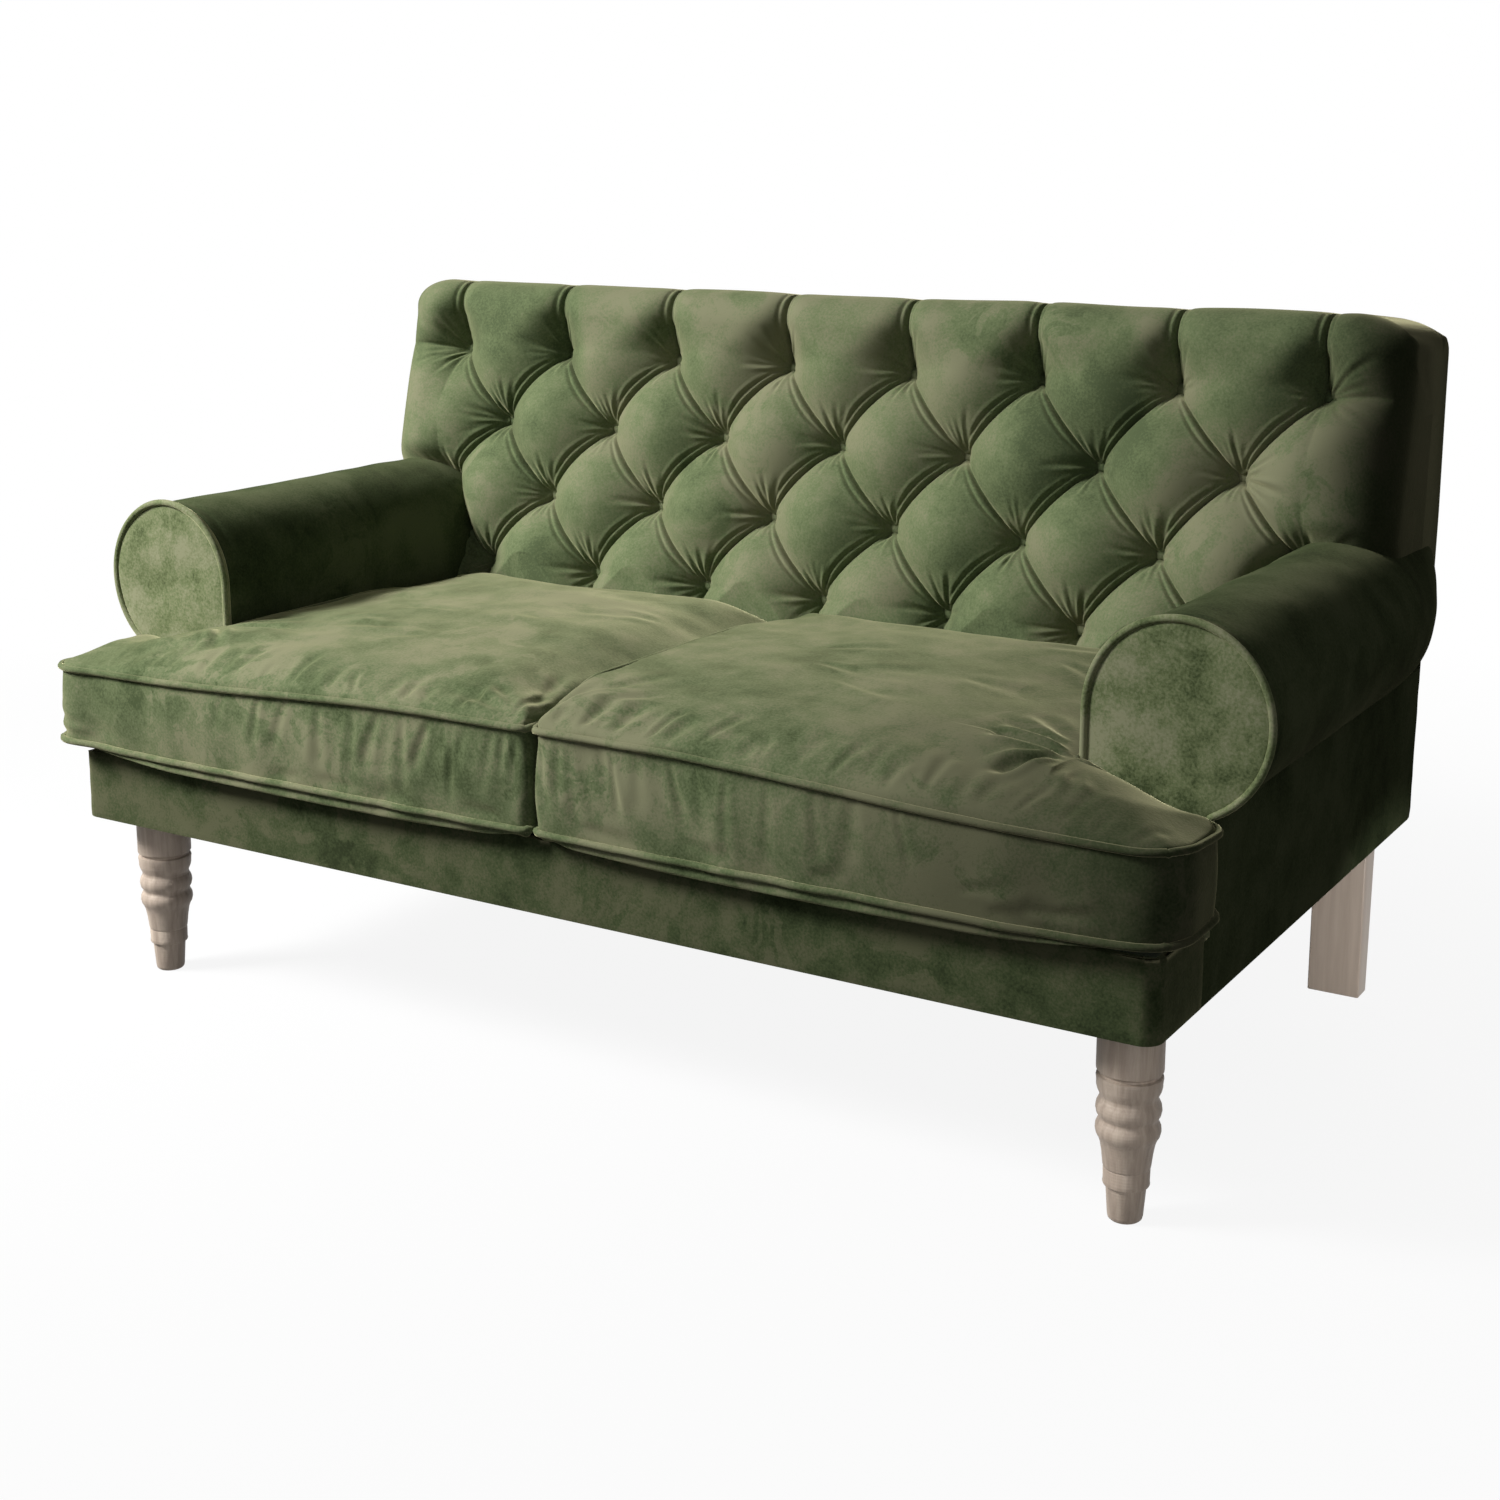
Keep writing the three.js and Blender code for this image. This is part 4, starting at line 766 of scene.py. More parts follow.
def back_pad():
    """The buttoned pad of the back, in one piece with its top and its ends."""
    x = back_columns()
    y0, z0, out_y, out_z, v, s = [column[:, None] for column in back_stations().T]
    x = x[None, :]
    from_edge = BACK_HALF - np.abs(x)
    depth = tuft_depth(x, v)
    relief = CROWN * depth - pleat_folds(x, v)
    for button_x, row in BUTTONS:
        relief = relief + 13.0 * bump(np.hypot(x - button_x, s - (TOP_ROW - row * ROW_STEP)), 13.0)
    wrinkles = gathers(x, s + 0 * x)
    front = (v > -2.6) & (v < 5)
    relief = np.where(front, relief - wrinkles, 0)
    z_near = z0 - relief * out_z
    arm_gap = np.clip(from_roll(x, z_near), 0, None)
    tuck = 15.0 * bump(arm_gap, 17.0) * (v > -0.5)
    tuck = tuck + 34.0 * (1 - smooth(PAD_FOOT, PAD_FOOT + 136, z0)) * (v > 1)
    fullness = 2.0 * ripple(np.stack(np.broadcast_arrays(x, s, 0 * x * s), -1).reshape(-1, 3),
                            260, 5).reshape(relief.shape) * front
    inward = relief + tuck - fullness
    reach = (FRONT_REACH * np.clip(-out_y, 0, 1) ** 2 + TOP_REACH * out_z ** 2
             + REAR_REACH * np.clip(out_y, 0, 1) ** 2)
    inward = inward + reach * end_drop(from_edge + END_SWELL)
    y = y0 - inward * out_y
    z = z0 - inward * out_z + 0 * x
    share = np.clip((z - TOP_ROW) / (BACK_TOP - TOP_ROW), 0, 1)
    z = z + 3.0 * (x / BACK_HALF) ** 2 * share
    near_seat = (v > 2) & (z < 520)
    y = np.where(near_seat, np.maximum(y, SEAT_CLEAR), y)
    half = BACK_HALF - 22.0 * (1 - smooth(440, 500, z))
    x = np.clip(x + 0 * y, -half, half)
    rows, columns = y.shape
    body = np.stack([x, y, z], axis=-1)

    # each quad is split along the pleat that runs through it
    quads = grid_faces(rows, columns, wrap_rows=True)
    first, second = [np.broadcast_to(line, y.shape).ravel() for line in lattice(x, v)]
    middle_first = first[quads].mean(axis=1)
    middle_second = second[quads].mean(axis=1)
    falls = np.abs(middle_second - np.round(middle_second)) < np.abs(
        middle_first - np.round(middle_first))
    one = np.concatenate([quads[falls][:, [0, 1, 3]], quads[falls][:, [1, 2, 3]]])
    other = np.concatenate([quads[~falls][:, [0, 1, 2]], quads[~falls][:, [0, 2, 3]]])
    points = [body.reshape(-1, 3)]
    faces = [one, other]
    count = rows * columns

    # the ends, drawn towards an upright line inside each
    for column, swell in ((0, -1), (columns - 1, 1)):
        ring = body[:, column]
        line_z = np.clip(ring[:, 2], 430, 780)
        line = np.stack([ring[:, 0], 345 + 0.1 * (line_z - 430), line_z], axis=1)
        previous = np.arange(rows) * columns + column
        length = np.linalg.norm(line - ring, axis=1)
        for run in (3, 7, 12, 18, 25, 33, 42, 52, 64, 1000):
            share = np.minimum(run / length, 1)
            inset = ring + share[:, None] * (line - ring)
            turned = end_drop(END_SWELL) + run / reach[:, 0]
            rounding = smooth(470, 520, ring[:, 2]) * 0.9 + 0.1
            rounding *= 1 - 0.8 * smooth(330, 470, inset[:, 1])
            inset[:, 0] += swell * rounding * (END_SWELL - end_width(turned))
            here = count + np.arange(rows)
            points.append(inset)
            quads = band(previous, here)
            faces.append(as_triangles(quads[:, ::-1] if swell > 0 else quads))
            previous = here
            count += rows
    pad = new_piece("buttoned_back_pad", np.concatenate(points), np.concatenate(faces), velvet)
    turned_out(pad, merge=0.02)

    # room for the arms, a little wider than they are
    foot = 250.0
    outer = 860.0
    roomy = 1.006
    outline = arm_outline(foot=foot, spacing=3.0)
    outline = outline[(outline[:, 1] >= ROLL_Z) | (outline[:, 0] < ROLL_X)]
    outline = (outline - [ROLL_X, ROLL_Z]) * roomy + [ROLL_X, ROLL_Z]
    outline = np.concatenate([outline, [[outer, ROLL_Z], [outer, foot]]])
    for side in SIDES.values():
        cut_away(pad, prism_tool(outline * [side, 1], -100.0, 600.0))
    cut_away(pad, timber_room())
    return pad


fitted(back_pad(), "sofa_frame", "velvet", "back_pad", fill=0.75)


def back_button(number, x, row):
    """A covered button, sunk where the pleats meet."""
    height = TOP_ROW - row * ROW_STEP
    y = TUFT_Y + (height - TUFT_Z) * math.tan(RAKE) + 11.0
    place = Vector((x, y, height)) * MM
    bpy.ops.object.select_all(action="DESELECT")
    bpy.ops.mesh.primitive_uv_sphere_add(segments=20, ring_count=12, radius=9.0 * MM,
                                         location=place)
    button = bpy.context.object
    button.name = f"back_button_{number}"
    bpy.ops.object.mode_set(mode="EDIT")
    bpy.ops.transform.resize(value=(1, 1, 0.52), center_override=place)
    bpy.ops.transform.rotate(value=-(math.pi / 2 - RAKE), orient_axis="X",
                             center_override=place)
    bpy.ops.object.mode_set(mode="OBJECT")
    bpy.ops.object.transform_apply(location=True)
    bpy.ops.object.shade_smooth()
    dress(button, velvet)
    fitted(button, "sofa_frame", "velvet")


for number, (x, row) in enumerate(BUTTONS, 1):
    back_button(number, x, row)


# Rolled arms
def taper(points, side):
    """The outer side of the roll draws in towards the rear."""
    run = np.clip(points[:, 1] - ROLL_TAPER_START, 0, None)
    drawn = run * run / ROLL_TAPER
    beyond = np.clip(side * points[:, 0] - NECK, 0, None)
    points[:, 0] -= side * drawn * beyond / (ROLL_X + ROLL_HALF_WIDTH - NECK)
    return points


def arm_body(side, inset, stations, foot, spacing=5.0):
    """A solid arm: the outline at each station of depth and extra inset, closed at both ends."""
    outline = arm_outline(0, foot, spacing=spacing)
    count = len(outline)
    centre = np.stack([np.full(count, ROLL_X), np.clip(outline[:, 1], 340, ROLL_Z)], axis=1)
    away = outline - centre
    away /= np.linalg.norm(away, axis=1)[:, None]
    rings = []
    for y, extra in stations:
        moved = outline - away * (inset + extra)
        moved[:, 1] = np.where(outline[:, 1] <= foot + 0.1, outline[:, 1], moved[:, 1])
        ring = np.stack([side * moved[:, 0], np.full(count, y), moved[:, 1]], axis=1)
        rings.append(taper(ring, side))
    faces = [as_triangles(grid_faces(len(rings), count, wrap_columns=True))]
    points = [np.concatenate(rings)]
    total = len(rings) * count
    for ring, first, back in ((rings[0], 0, False),
                              (rings[-1], (len(rings) - 1) * count, True)):
        previous = first + np.arange(count)
        middle_z = np.clip(ring[:, 2], 345, ROLL_Z)
        middle = np.stack([np.full(count, side * 0.5 * (OPENING_HALF + NECK + 20)), ring[:, 1],
                           middle_z], axis=1)
        for share in (0.2, 0.5, 0.8, 1.0):
            points.append(ring + share * (middle - ring))
            here = total + np.arange(count)
            quads = band(previous, here)
            faces.append(as_triangles(quads[:, ::-1] if back else quads))
            previous = here
            total += count
    body = new_piece("arm", np.concatenate(points), np.concatenate(faces), velvet)
    turned_out(body, merge=0.05)
    return body


def arm_pad(name, side):
    """The cover of one arm, hollow over its frame, with its rear end inside the back."""
    rear = 26.0
    stations = [(y, 0.0) for y in np.linspace(ARM_BODY_FRONT, ARM_REAR - rear, 150)]
    for angle in np.radians(np.linspace(8, 90, 11)):
        stations.append((ARM_REAR - rear + rear * math.sin(angle), rear * (1 - math.cos(angle))))
    arm = arm_body(side, 0.0, stations, ARM_FOOT)
    arm.name = f"arm_pad_cover_{name}"
    points = points_of(arm)
    points[:, 1] = np.minimum(points[:, 1], BACK_REAR - rear_lean(points[:, 2]) - 1)
    normals = normals_of(arm)
    free = smooth(ARM_BODY_FRONT, ARM_BODY_FRONT + 60, points[:, 1]) * (
        1 - smooth(400, 450, points[:, 1]))
    outside = smooth(420, 470, points[:, 2])
    swell = 1.3 * ripple(points, 150, 21 + side) + 0.6 * ripple(points, 60, 31 + side)
    seam = -2.4 * bump(points[:, 1] - (ARM_BODY_FRONT + 17), 3.0)
    points += normals * (free * outside * swell + seam * outside)[:, None]
    move_points(arm, points)
    hollow = arm_body(side, 20.0, [(y, 0.0) for y in (-380.0, 200.0, 300.0, ARM_REAR - 28)],
                      ARM_FOOT - 40, spacing=12.0)
    cut_away(arm, hollow)
    # below the roll the arm ends further forward
    low_x, high_x = sorted((side * 577, side * NECK))
    cut_away(arm, block_tool([low_x, 432.5, ARM_FOOT - 5], [high_x, 520.0, 433.0]))
    cut_away(arm, timber_room())
    # the arm takes the darker velvet, whose darkness is painted shade
    dress(arm, velvet_dark_painted_shade)
    fitted(arm, "sofa_frame", "velvet", f"arm_pad_{name}", fill=0.8)


def arm_facing(name, side):
    """The scroll facing: a flat padded panel with piping sewn round its edge."""
    outline = arm_outline(0.0, ARM_FOOT, BODY_HALF, spacing=4.0)
    count = len(outline)
    middle_z = np.clip(outline[:, 1], 345, ROLL_Z)
    middle_x = np.where(middle_z > 520, ROLL_X, 0.5 * (OPENING_HALF + BODY_HALF))
    middle_x = middle_x + (ROLL_X - middle_x) * smooth(440, 532, middle_z)
    middle = np.stack([middle_x, middle_z], axis=1)
    rings = []
    for share in (0.0, 0.04, 0.1, 0.18, 0.28, 0.4, 0.52, 0.64, 0.76, 0.88, 1.0):
        flat = outline + share * (middle - outline)
        away = np.linalg.norm(flat - outline, axis=1)
        swell = 3.0 * np.sqrt(1 - (1 - np.clip(away / 45, 0, 1)) ** 2)
        y = ARM_FRONT + 2.0 - swell
        rings.append(np.stack([side * flat[:, 0], y, flat[:, 1]], axis=1))
    for share in (0.0, 0.5, 1.0):
        flat = outline + share * (middle - outline)
        y = np.full(count, ARM_FRONT + FACING_DEPTH)
        rings.insert(0, np.stack([side * flat[:, 0], y, flat[:, 1]], axis=1))
    faces = as_triangles(grid_faces(len(rings), count, wrap_columns=True))
    # the facing takes the paler velvet, whose paleness is painted light
    facing = new_piece(f"arm_facing_cover_{name}", np.concatenate(rings), faces,
                       velvet_pale_painted_light)
    turned_out(facing, merge=0.05)
    points = points_of(facing)
    face_side = points[:, 1] < ARM_FRONT + 1
    points[:, 1] -= face_side * 0.8 * ripple(points, 90, 41 + side)
    move_points(facing, points)
    cord = arm_outline(-1.0, ARM_FOOT + 6, BODY_HALF + 1.0, spacing=4.0)
    path = np.stack([side * cord[:, 0], np.full(len(cord), ARM_FRONT + 1.5), cord[:, 1]], axis=1)
    with_piping(facing, [(path, False)], 4.4)
    fitted(facing, "sofa_frame", "velvet", f"arm_facing_{name}", fill=0.7)


for name, side in SIDES.items():
    arm_pad(name, side)
    arm_facing(name, side)


# Seat cushions, T-shaped, with piping along both seams
def seat_plan():
    """Lines across and along a cushion, close at its edges, and which of them meet the notch."""
    near = np.array([0.0, 2.5, 6.0, 10.5, 16.0, 22.5])
    across = np.concatenate([SEAT_INNER + near, np.linspace(SEAT_INNER + 29, SEAT_OUTER - 29, 80),
                             SEAT_OUTER - near[::-1], SEAT_OUTER + near[1:],
                             np.linspace(SEAT_OUTER + 29, EAR_OUTER - 29, 16),
                             EAR_OUTER - near[::-1]])
    deep = np.concatenate([SEAT_FRONT + near, np.linspace(SEAT_FRONT + 29, EAR_REAR - 29, 13),
                           EAR_REAR - near[::-1], EAR_REAR + near[1:],
                           np.linspace(EAR_REAR + 29, SEAT_REAR - 29, 61),
                           SEAT_REAR - near[::-1]])
    return (across, deep, int(np.argmin(np.abs(across - SEAT_OUTER))),
            int(np.argmin(np.abs(deep - EAR_REAR))))


def dome(distance, reach):
    """A rise from 0 at an edge to 1 at its reach, as a quarter of an ellipse."""
    share = 1 - np.clip(distance / reach, 0, 1)
    return np.sqrt(1 - share * share)


def rounded_corner(u, y, corner_u, corner_y, inward_u, inward_y, radius):
    """Bends a square corner of the plan into a round one."""
    m = radius - inward_u * (u - corner_u)
    n = radius - inward_y * (y - corner_y)
    inside = (m > 0) & (n > 0) & (m <= radius) & (n <= radius)
    round_m = m * np.sqrt(np.clip(1 - n * n / (2 * radius * radius), 0, 1))
    round_n = n * np.sqrt(np.clip(1 - m * m / (2 * radius * radius), 0, 1))
    u = np.where(inside, corner_u + inward_u * (radius - round_m), u)
    y = np.where(inside, corner_y + inward_y * (radius - round_n), y)
    return u, y


def ear_share(u):
    """From 0 on the seat to 1 on the ear, which lies before the arm."""
    return smooth(SEAT_OUTER - 25, SEAT_OUTER + 130, u)


def seam_height(u, y):
    """The front seam is higher at the inner end, and the filling lifts the seams behind it."""
    front = 20 * (1 - smooth(150, 640, u))
    behind = 45 - 52 * ear_share(u) + 13 * (1 - smooth(SEAT_INNER, SEAT_INNER + 90, u))
    share = smooth(SEAT_FRONT, SEAT_FRONT + 140, y)
    rear = 20 * smooth(SEAT_REAR - 200, SEAT_REAR, y)
    return TOP_SEAM + front + share * (behind - front) - rear


def seat_shape(u, y, level):
    """A point of a cushion: level runs from -1, under the low seam, to 2, above the top seam."""
    to_outer = np.where(y > EAR_REAR, SEAT_OUTER - u, EAR_OUTER - u)
    to_rear = np.where(u > SEAT_OUTER, EAR_REAR - y, (SEAT_REAR - y) * 3.0)
    to_notch = np.hypot(np.clip(SEAT_OUTER - u, 0, None), np.clip(EAR_REAR - y, 0, None))
    distance = np.clip(np.minimum.reduce([(u - SEAT_INNER) * 1.5, to_outer, (y - SEAT_FRONT) * 1.1,
                                          to_rear, to_notch * 1.6]), 0, None)
    seam = seam_height(u, y)
    low_seam = LOW_SEAM + 3 * smooth(620, 740, u)
    if level > 1:
        crown = CROWN_TOP - 43 * ear_share(u)
        z = seam + (crown - seam) * dome(distance, 210)
    elif level < 0:
        belly = 1 - 0.65 * smooth(560, 740, u)
        z = low_seam - (LOW_SEAM - BELLY_FOOT) * belly * dome(distance, 18)
        z = z + (SEAT_FOOT - BELLY_FOOT) * smooth(BORDER_FRONT - 12, BORDER_FRONT - 2, y) * belly
    else:
        z = low_seam + level * (seam - low_seam)
    for corner in ((EAR_OUTER, SEAT_FRONT, -1, 1, 52), (EAR_OUTER, EAR_REAR, -1, -1, 40),
                   (SEAT_OUTER, SEAT_REAR, -1, -1, 26), (SEAT_INNER, SEAT_REAR, 1, -1, 26),
                   (SEAT_INNER, SEAT_FRONT, 1, 1, 16)):
        u, y = rounded_corner(u, y, *corner)
    if level < 0:
        inside = y - SEAT_FRONT
        bulge = 13 * smooth(10, 60, u) * (1 - smooth(690, 740, u))
        y = y - bulge * smooth(0.5, 5, inside) * (1 - smooth(6, 24, inside))
    return u, y, z


def cushion_shell():
    """The sewn cover as a closed mesh: top, boxing and underside, with the two seam lines."""
    across, deep, outer_i, ear_j = seat_plan()
    ni, nj = len(across), len(deep)
    i, j = np.meshgrid(np.arange(ni), np.arange(nj), indexing="ij")
    real = (i <= outer_i) | (j <= ear_j)
    number = np.full((ni, nj), -1)
    number[real] = np.arange(real.sum())
    u, y = across[i[real]], deep[j[real]]
    top = np.stack(seat_shape(u, y, 2), axis=1)
    under = np.stack(seat_shape(u, y, -1), axis=1)
    cell = real[:-1, :-1] & real[1:, 1:] & real[1:, :-1] & real[:-1, 1:]
    ci, cj = np.nonzero(cell)
    quads = np.stack([number[ci, cj], number[ci + 1, cj], number[ci + 1, cj + 1],
                      number[ci, cj + 1]], axis=1)
    count = len(top)
    loop = ([(k, 0) for k in range(ni - 1)] + [(ni - 1, k) for k in range(ear_j)]
            + [(k, ear_j) for k in range(ni - 1, outer_i, -1)]
            + [(outer_i, k) for k in range(ear_j, nj - 1)]
            + [(k, nj - 1) for k in range(outer_i, 0, -1)]
            + [(0, k) for k in range(nj - 1, 0, -1)])
    edge = np.array([number[a, b] for a, b in loop])
    edge_u = np.array([across[a] for a, b in loop])
    edge_y = np.array([deep[b] for a, b in loop])
    points = [top, under]
    rows = [edge]
    total = 2 * count
    boxing = 13
    for k in range(1, boxing):
        level = 1 - k / boxing
        points.append(np.stack(seat_shape(edge_u, edge_y, level), axis=1))
        rows.append(total + np.arange(len(loop)))
        total += len(loop)
    rows.append(count + edge)
    faces = [quads, (quads + count)[:, ::-1]]
    faces += [band(upper, lower) for upper, lower in zip(rows, rows[1:])]
    return np.concatenate(points), np.concatenate(faces), rows


def settle(points, rear=SEAT_REAR):
    """Presses a cushion flat where it meets what is next to it."""
    u, y, z = points.T
    u = np.maximum(u, 2.0)
    z = np.maximum(z, np.where(y < BORDER_FRONT - 2.5, BELLY_FOOT - 1, SEAT_FOOT))
    under = z < LOW_SEAM + 2
    y = np.where(under, np.maximum(y, SEAT_FRONT - 8), y)
    y = np.minimum(y, rear)
    notch_u = OPENING_HALF - 1.5
    notch_y = ARM_FRONT - 7
    deep = y - notch_y
    wide = u - notch_u
    inside = (deep > 0) & (wide > 0)
    u = np.where(inside & (wide <= deep), notch_u, u)
    y = np.where(inside & (deep < wide), notch_y, y)
    return np.stack([u, y, z], axis=1)


def evened(values, edges, held, rounds):
    """Values shared out along the edges of a mesh, so that only their broad swell is left."""
    shared = len(values)
    count = np.bincount(edges.ravel(), minlength=shared)[:, None]
    for _ in range(rounds):
        total = np.stack([np.bincount(edges[:, 0], part[edges[:, 1]], shared)
                          + np.bincount(edges[:, 1], part[edges[:, 0]], shared)
                          for part in values.T], axis=1)
        values = 0.5 * values + 0.5 * total / count
        values[held] = 0
    return values


CLOTH_FRAMES = 20
CLOTH_LIMIT = 24.0
CLOTH_EVENED = 0.8


def sewn_cushion(name):
    """One cushion in its own frame, with u to the outside. Cloth under air pressure fills it
    between its seams, which hold their line."""
    points, faces, rows = cushion_shell()
    cushion = new_piece(name, points, faces, velvet)
    turned_out(cushion)
    before = points_of(cushion)
    held = cushion.vertex_groups.new(name="seams")
    seams = np.concatenate([rows[0], rows[-1]])
    held.add([int(n) for n in seams], 1.0, "REPLACE")
    pick(cushion)
    cloth = cushion.modifiers.new("cloth", "CLOTH")
    settings = cloth.settings
    settings.vertex_group_mass = "seams"
    settings.use_pressure = True
    settings.uniform_pressure_force = 4.0
    settings.effector_weights.gravity = 0.0
    settings.quality = 4
    settings.mass = 0.3
    settings.shrink_min = 0.012
    cloth.collision_settings.use_collision = False
    scene = bpy.context.scene
    for number in range(1, CLOTH_FRAMES + 1):
        scene.frame_set(number)
    bpy.ops.object.modifier_apply(modifier=cloth.name)
    scene.frame_set(1)
    moved = points_of(cushion) - before
    length = np.linalg.norm(moved, axis=1)
    moved *= (np.minimum(length, CLOTH_LIMIT) / np.maximum(length, 1e-6))[:, None]
    edges = np.array([edge.vertices[:] for edge in cushion.data.edges])
    moved = (1 - CLOTH_EVENED) * moved + CLOTH_EVENED * evened(moved, edges, seams, 40)
    move_points(cushion, before + moved)
    move_points(cushion, settle(points_of(cushion)))
    finish_with(cushion, "SUBSURF", levels=1, render_levels=1)
    move_points(cushion, settle(points_of(cushion)))
    return cushion, [rows[0], rows[-1]]


def seat_wrinkles(points, normals, side):
    """Folds that the photograph shows, worked into the cover in millimetres."""
    random = np.random.default_rng(60 + side)
    top = [0, 1]
    boxing = [0, 2]
    # a fan on the top panel from the inner front corner
    for angle in (12, 21, 30, 40, 51, 62, 72, 81):
        length = random.uniform(60, 170)
        turn = math.radians(angle + random.uniform(-3, 3))
        away = np.array([math.cos(turn), math.sin(turn)])
        start = np.array([SEAT_INNER + 4, SEAT_FRONT + 4]) + 32 * away
        end = start + length * away
        points = crease(points, normals, top, start, end, random.uniform(6, 9),
                        random.uniform(1.2, 2.6))
    # folds that climb from the front seam, deepest near the inner end
    for k in range(19):
        at = SEAT_INNER + 36 + k * 38 + random.uniform(-13, 13)
        start = np.array([at, SEAT_FRONT + 4])
        end = start + [random.uniform(-6, 26), random.uniform(28, 90)]
        points = crease(points, normals, top, start, end, random.uniform(4, 10),
                        random.uniform(1.2, 3.4) * (1 - 0.035 * k))
    # folds on the boxing, most of them near the inner end
    for k in range(13):
        at = SEAT_INNER + 12 + k * 19 + 1.6 * k * k + random.uniform(-7, 7)
        start = np.array([at, 452.0])
        end = np.array([at + random.uniform(-4, 34), random.uniform(338, 380)])
        points = crease(points, normals, boxing, start, end, random.uniform(4, 9),
                        random.uniform(1.4, 3.2) * (1 - 0.04 * k))
    # the boxing is a little slack over the low seam
    for k in range(9):
        at = random.uniform(20, 740)
        start = np.array([at, random.uniform(345, 365)])
        end = start + [random.uniform(40, 110), random.uniform(-10, 14)]
        points = crease(points, normals, boxing, start, end, random.uniform(5, 9),
                        random.uniform(0.8, 2.0))
    # two deep folds run out of the notch beside the arm, and lighter ones between them
    for start_u, start_y, end_u, end_y, width, depth in (
            (606, -340, 505, -330, 7, 8.5), (600, -352, 545, -425, 7, 7.5),
            (596, -318, 500, -285, 8, 2.5), (628, -372, 640, -430, 6, 2.2),
            (590, -300, 520, -240, 9, 2.0)):
        start = np.array([start_u, start_y])
        end = np.array([end_u + random.uniform(-6, 6), end_y + random.uniform(-6, 6)])
        points = crease(points, normals, top, start, end, width,
                        depth * (1.0 if side > 0 else 0.45))
    # long faint pulls over the top panel
    for k in range(8):
        start = np.array([random.uniform(80, 480), random.uniform(-330, 40)])
        end = start + [random.uniform(50, 150), random.uniform(-60, 60)]
        points = crease(points, normals, top, start, end, random.uniform(7, 13),
                        random.uniform(0.8, 1.8))
    return points


def left_shape(points):
    """The left cushion falls towards the middle, and its outer front corner is nearly square."""
    u, y, z = points.T
    corner = np.array([EAR_OUTER, SEAT_FRONT])
    near = bump(np.linalg.norm(points[:, :2] - corner, axis=1) - 14, 38.0)
    near = near * smooth(300, 335, z)
    level = np.clip((z - LOW_SEAM) / (seam_height(u, y) - LOW_SEAM), 0, 1)
    fall = 30 * (1 - smooth(-10, 125, u)) * smooth(SEAT_FRONT, SEAT_FRONT + 110, y)
    full = (6 * smooth(600, 680, u) + 11 * bump(u - 740, 24)) * (1 - smooth(752, 782, u))
    full = full * smooth(SEAT_FRONT + 10, SEAT_FRONT + 80, y)
    return np.stack([u + 10 * near, y - 10 * near, z + (full - fall) * level], axis=1)


def seat_cushion(name, side, model, seams):
    """One cushion as a copy of the model, with its own folds, and piping on both seams."""
    pick(model)
    bpy.ops.object.duplicate()
    cushion = bpy.context.object
    cushion.name = f"seat_cushion_{name}"
    cushion.data.name = cushion.name
    # the right cushion takes the velvet that darkens outwards as painted shade
    cushion.data.materials[0] = velvet_seat if side < 0 else velvet_seat_right_painted_shade
    normals = normals_of(cushion)
    points = seat_wrinkles(points_of(cushion), normals, side)
    on_top = smooth(430, 450, points[:, 2]) * smooth(0.2, 0.8, normals[:, 2])
    swell = on_top * (2.4 * ripple(points, 190, 71 + side) + 1.0 * ripple(points, 70, 81 + side))
    boxing = 1 - smooth(0.1, 0.5, np.abs(normals[:, 2]))
    swell += boxing * 1.6 * ripple(points * [1, 1, 0.5], 80, 91 + side)
    level = np.clip((points[:, 2] - LOW_SEAM) / (TOP_SEAM - LOW_SEAM), 0, 1)
    swell += boxing * 4.0 * np.sin(math.pi * level)
    points = settle(points + normals * swell[:, None])
    if side < 0:
        points = settle(left_shape(points))
    lines = [points[seam] for seam in seams]
    points[:, 0] *= side
    move_points(cushion, points)
    if side < 0:
        open_mesh(cushion)
        bpy.ops.mesh.flip_normals()
        bpy.ops.object.mode_set(mode="OBJECT")
    cords = []
    for seam in lines:
        ahead = np.roll(seam, -1, axis=0) - np.roll(seam, 1, axis=0)
        out = np.cross(ahead, [0, 0, 1.0])
        out /= np.maximum(np.linalg.norm(out, axis=1), 0.001)[:, None]
        path = settle(seam + out * 2.8, SEAT_REAR - 4.0)
        path[:, 0] = np.maximum(path[:, 0], 4.6)
        path[:, 0] = np.where(path[:, 1] > EAR_REAR - 2, np.minimum(path[:, 0], 611.0),
                              path[:, 0])
        path[:, 0] *= side
        cords.append((path, True))
    with_piping(cushion, cords, 4.3)
    fitted(cushion, f"cushion_{name}", "velvet", f"cushion_cover_{name}",
           f"cushion_core_{name}", fill=0.8)


cushion_model, seam_lines = sewn_cushion("cushion_model")
for name, side in SIDES.items():
    seat_cushion(name, side, cushion_model, seam_lines)
bpy.data.objects.remove(cushion_model)


# Covered boards: front border, side panels and outside back
def new_block(name, low, high):
    """A box primitive between two corners in millimetres, left in edit mode."""
    pick(next(iter(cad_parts.values())))
    bpy.ops.object.select_all(action="DESELECT")
    low = Vector(low) * MM
    high = Vector(high) * MM
    bpy.ops.mesh.primitive_cube_add(size=1, location=(low + high) / 2, scale=high - low)
    block = bpy.context.object
    block.name = name
    block.data.name = name
    bpy.ops.object.transform_apply(location=True, rotation=True, scale=True)
    bpy.ops.object.mode_set(mode="EDIT")
    bpy.ops.mesh.select_mode(type="FACE")
    return block


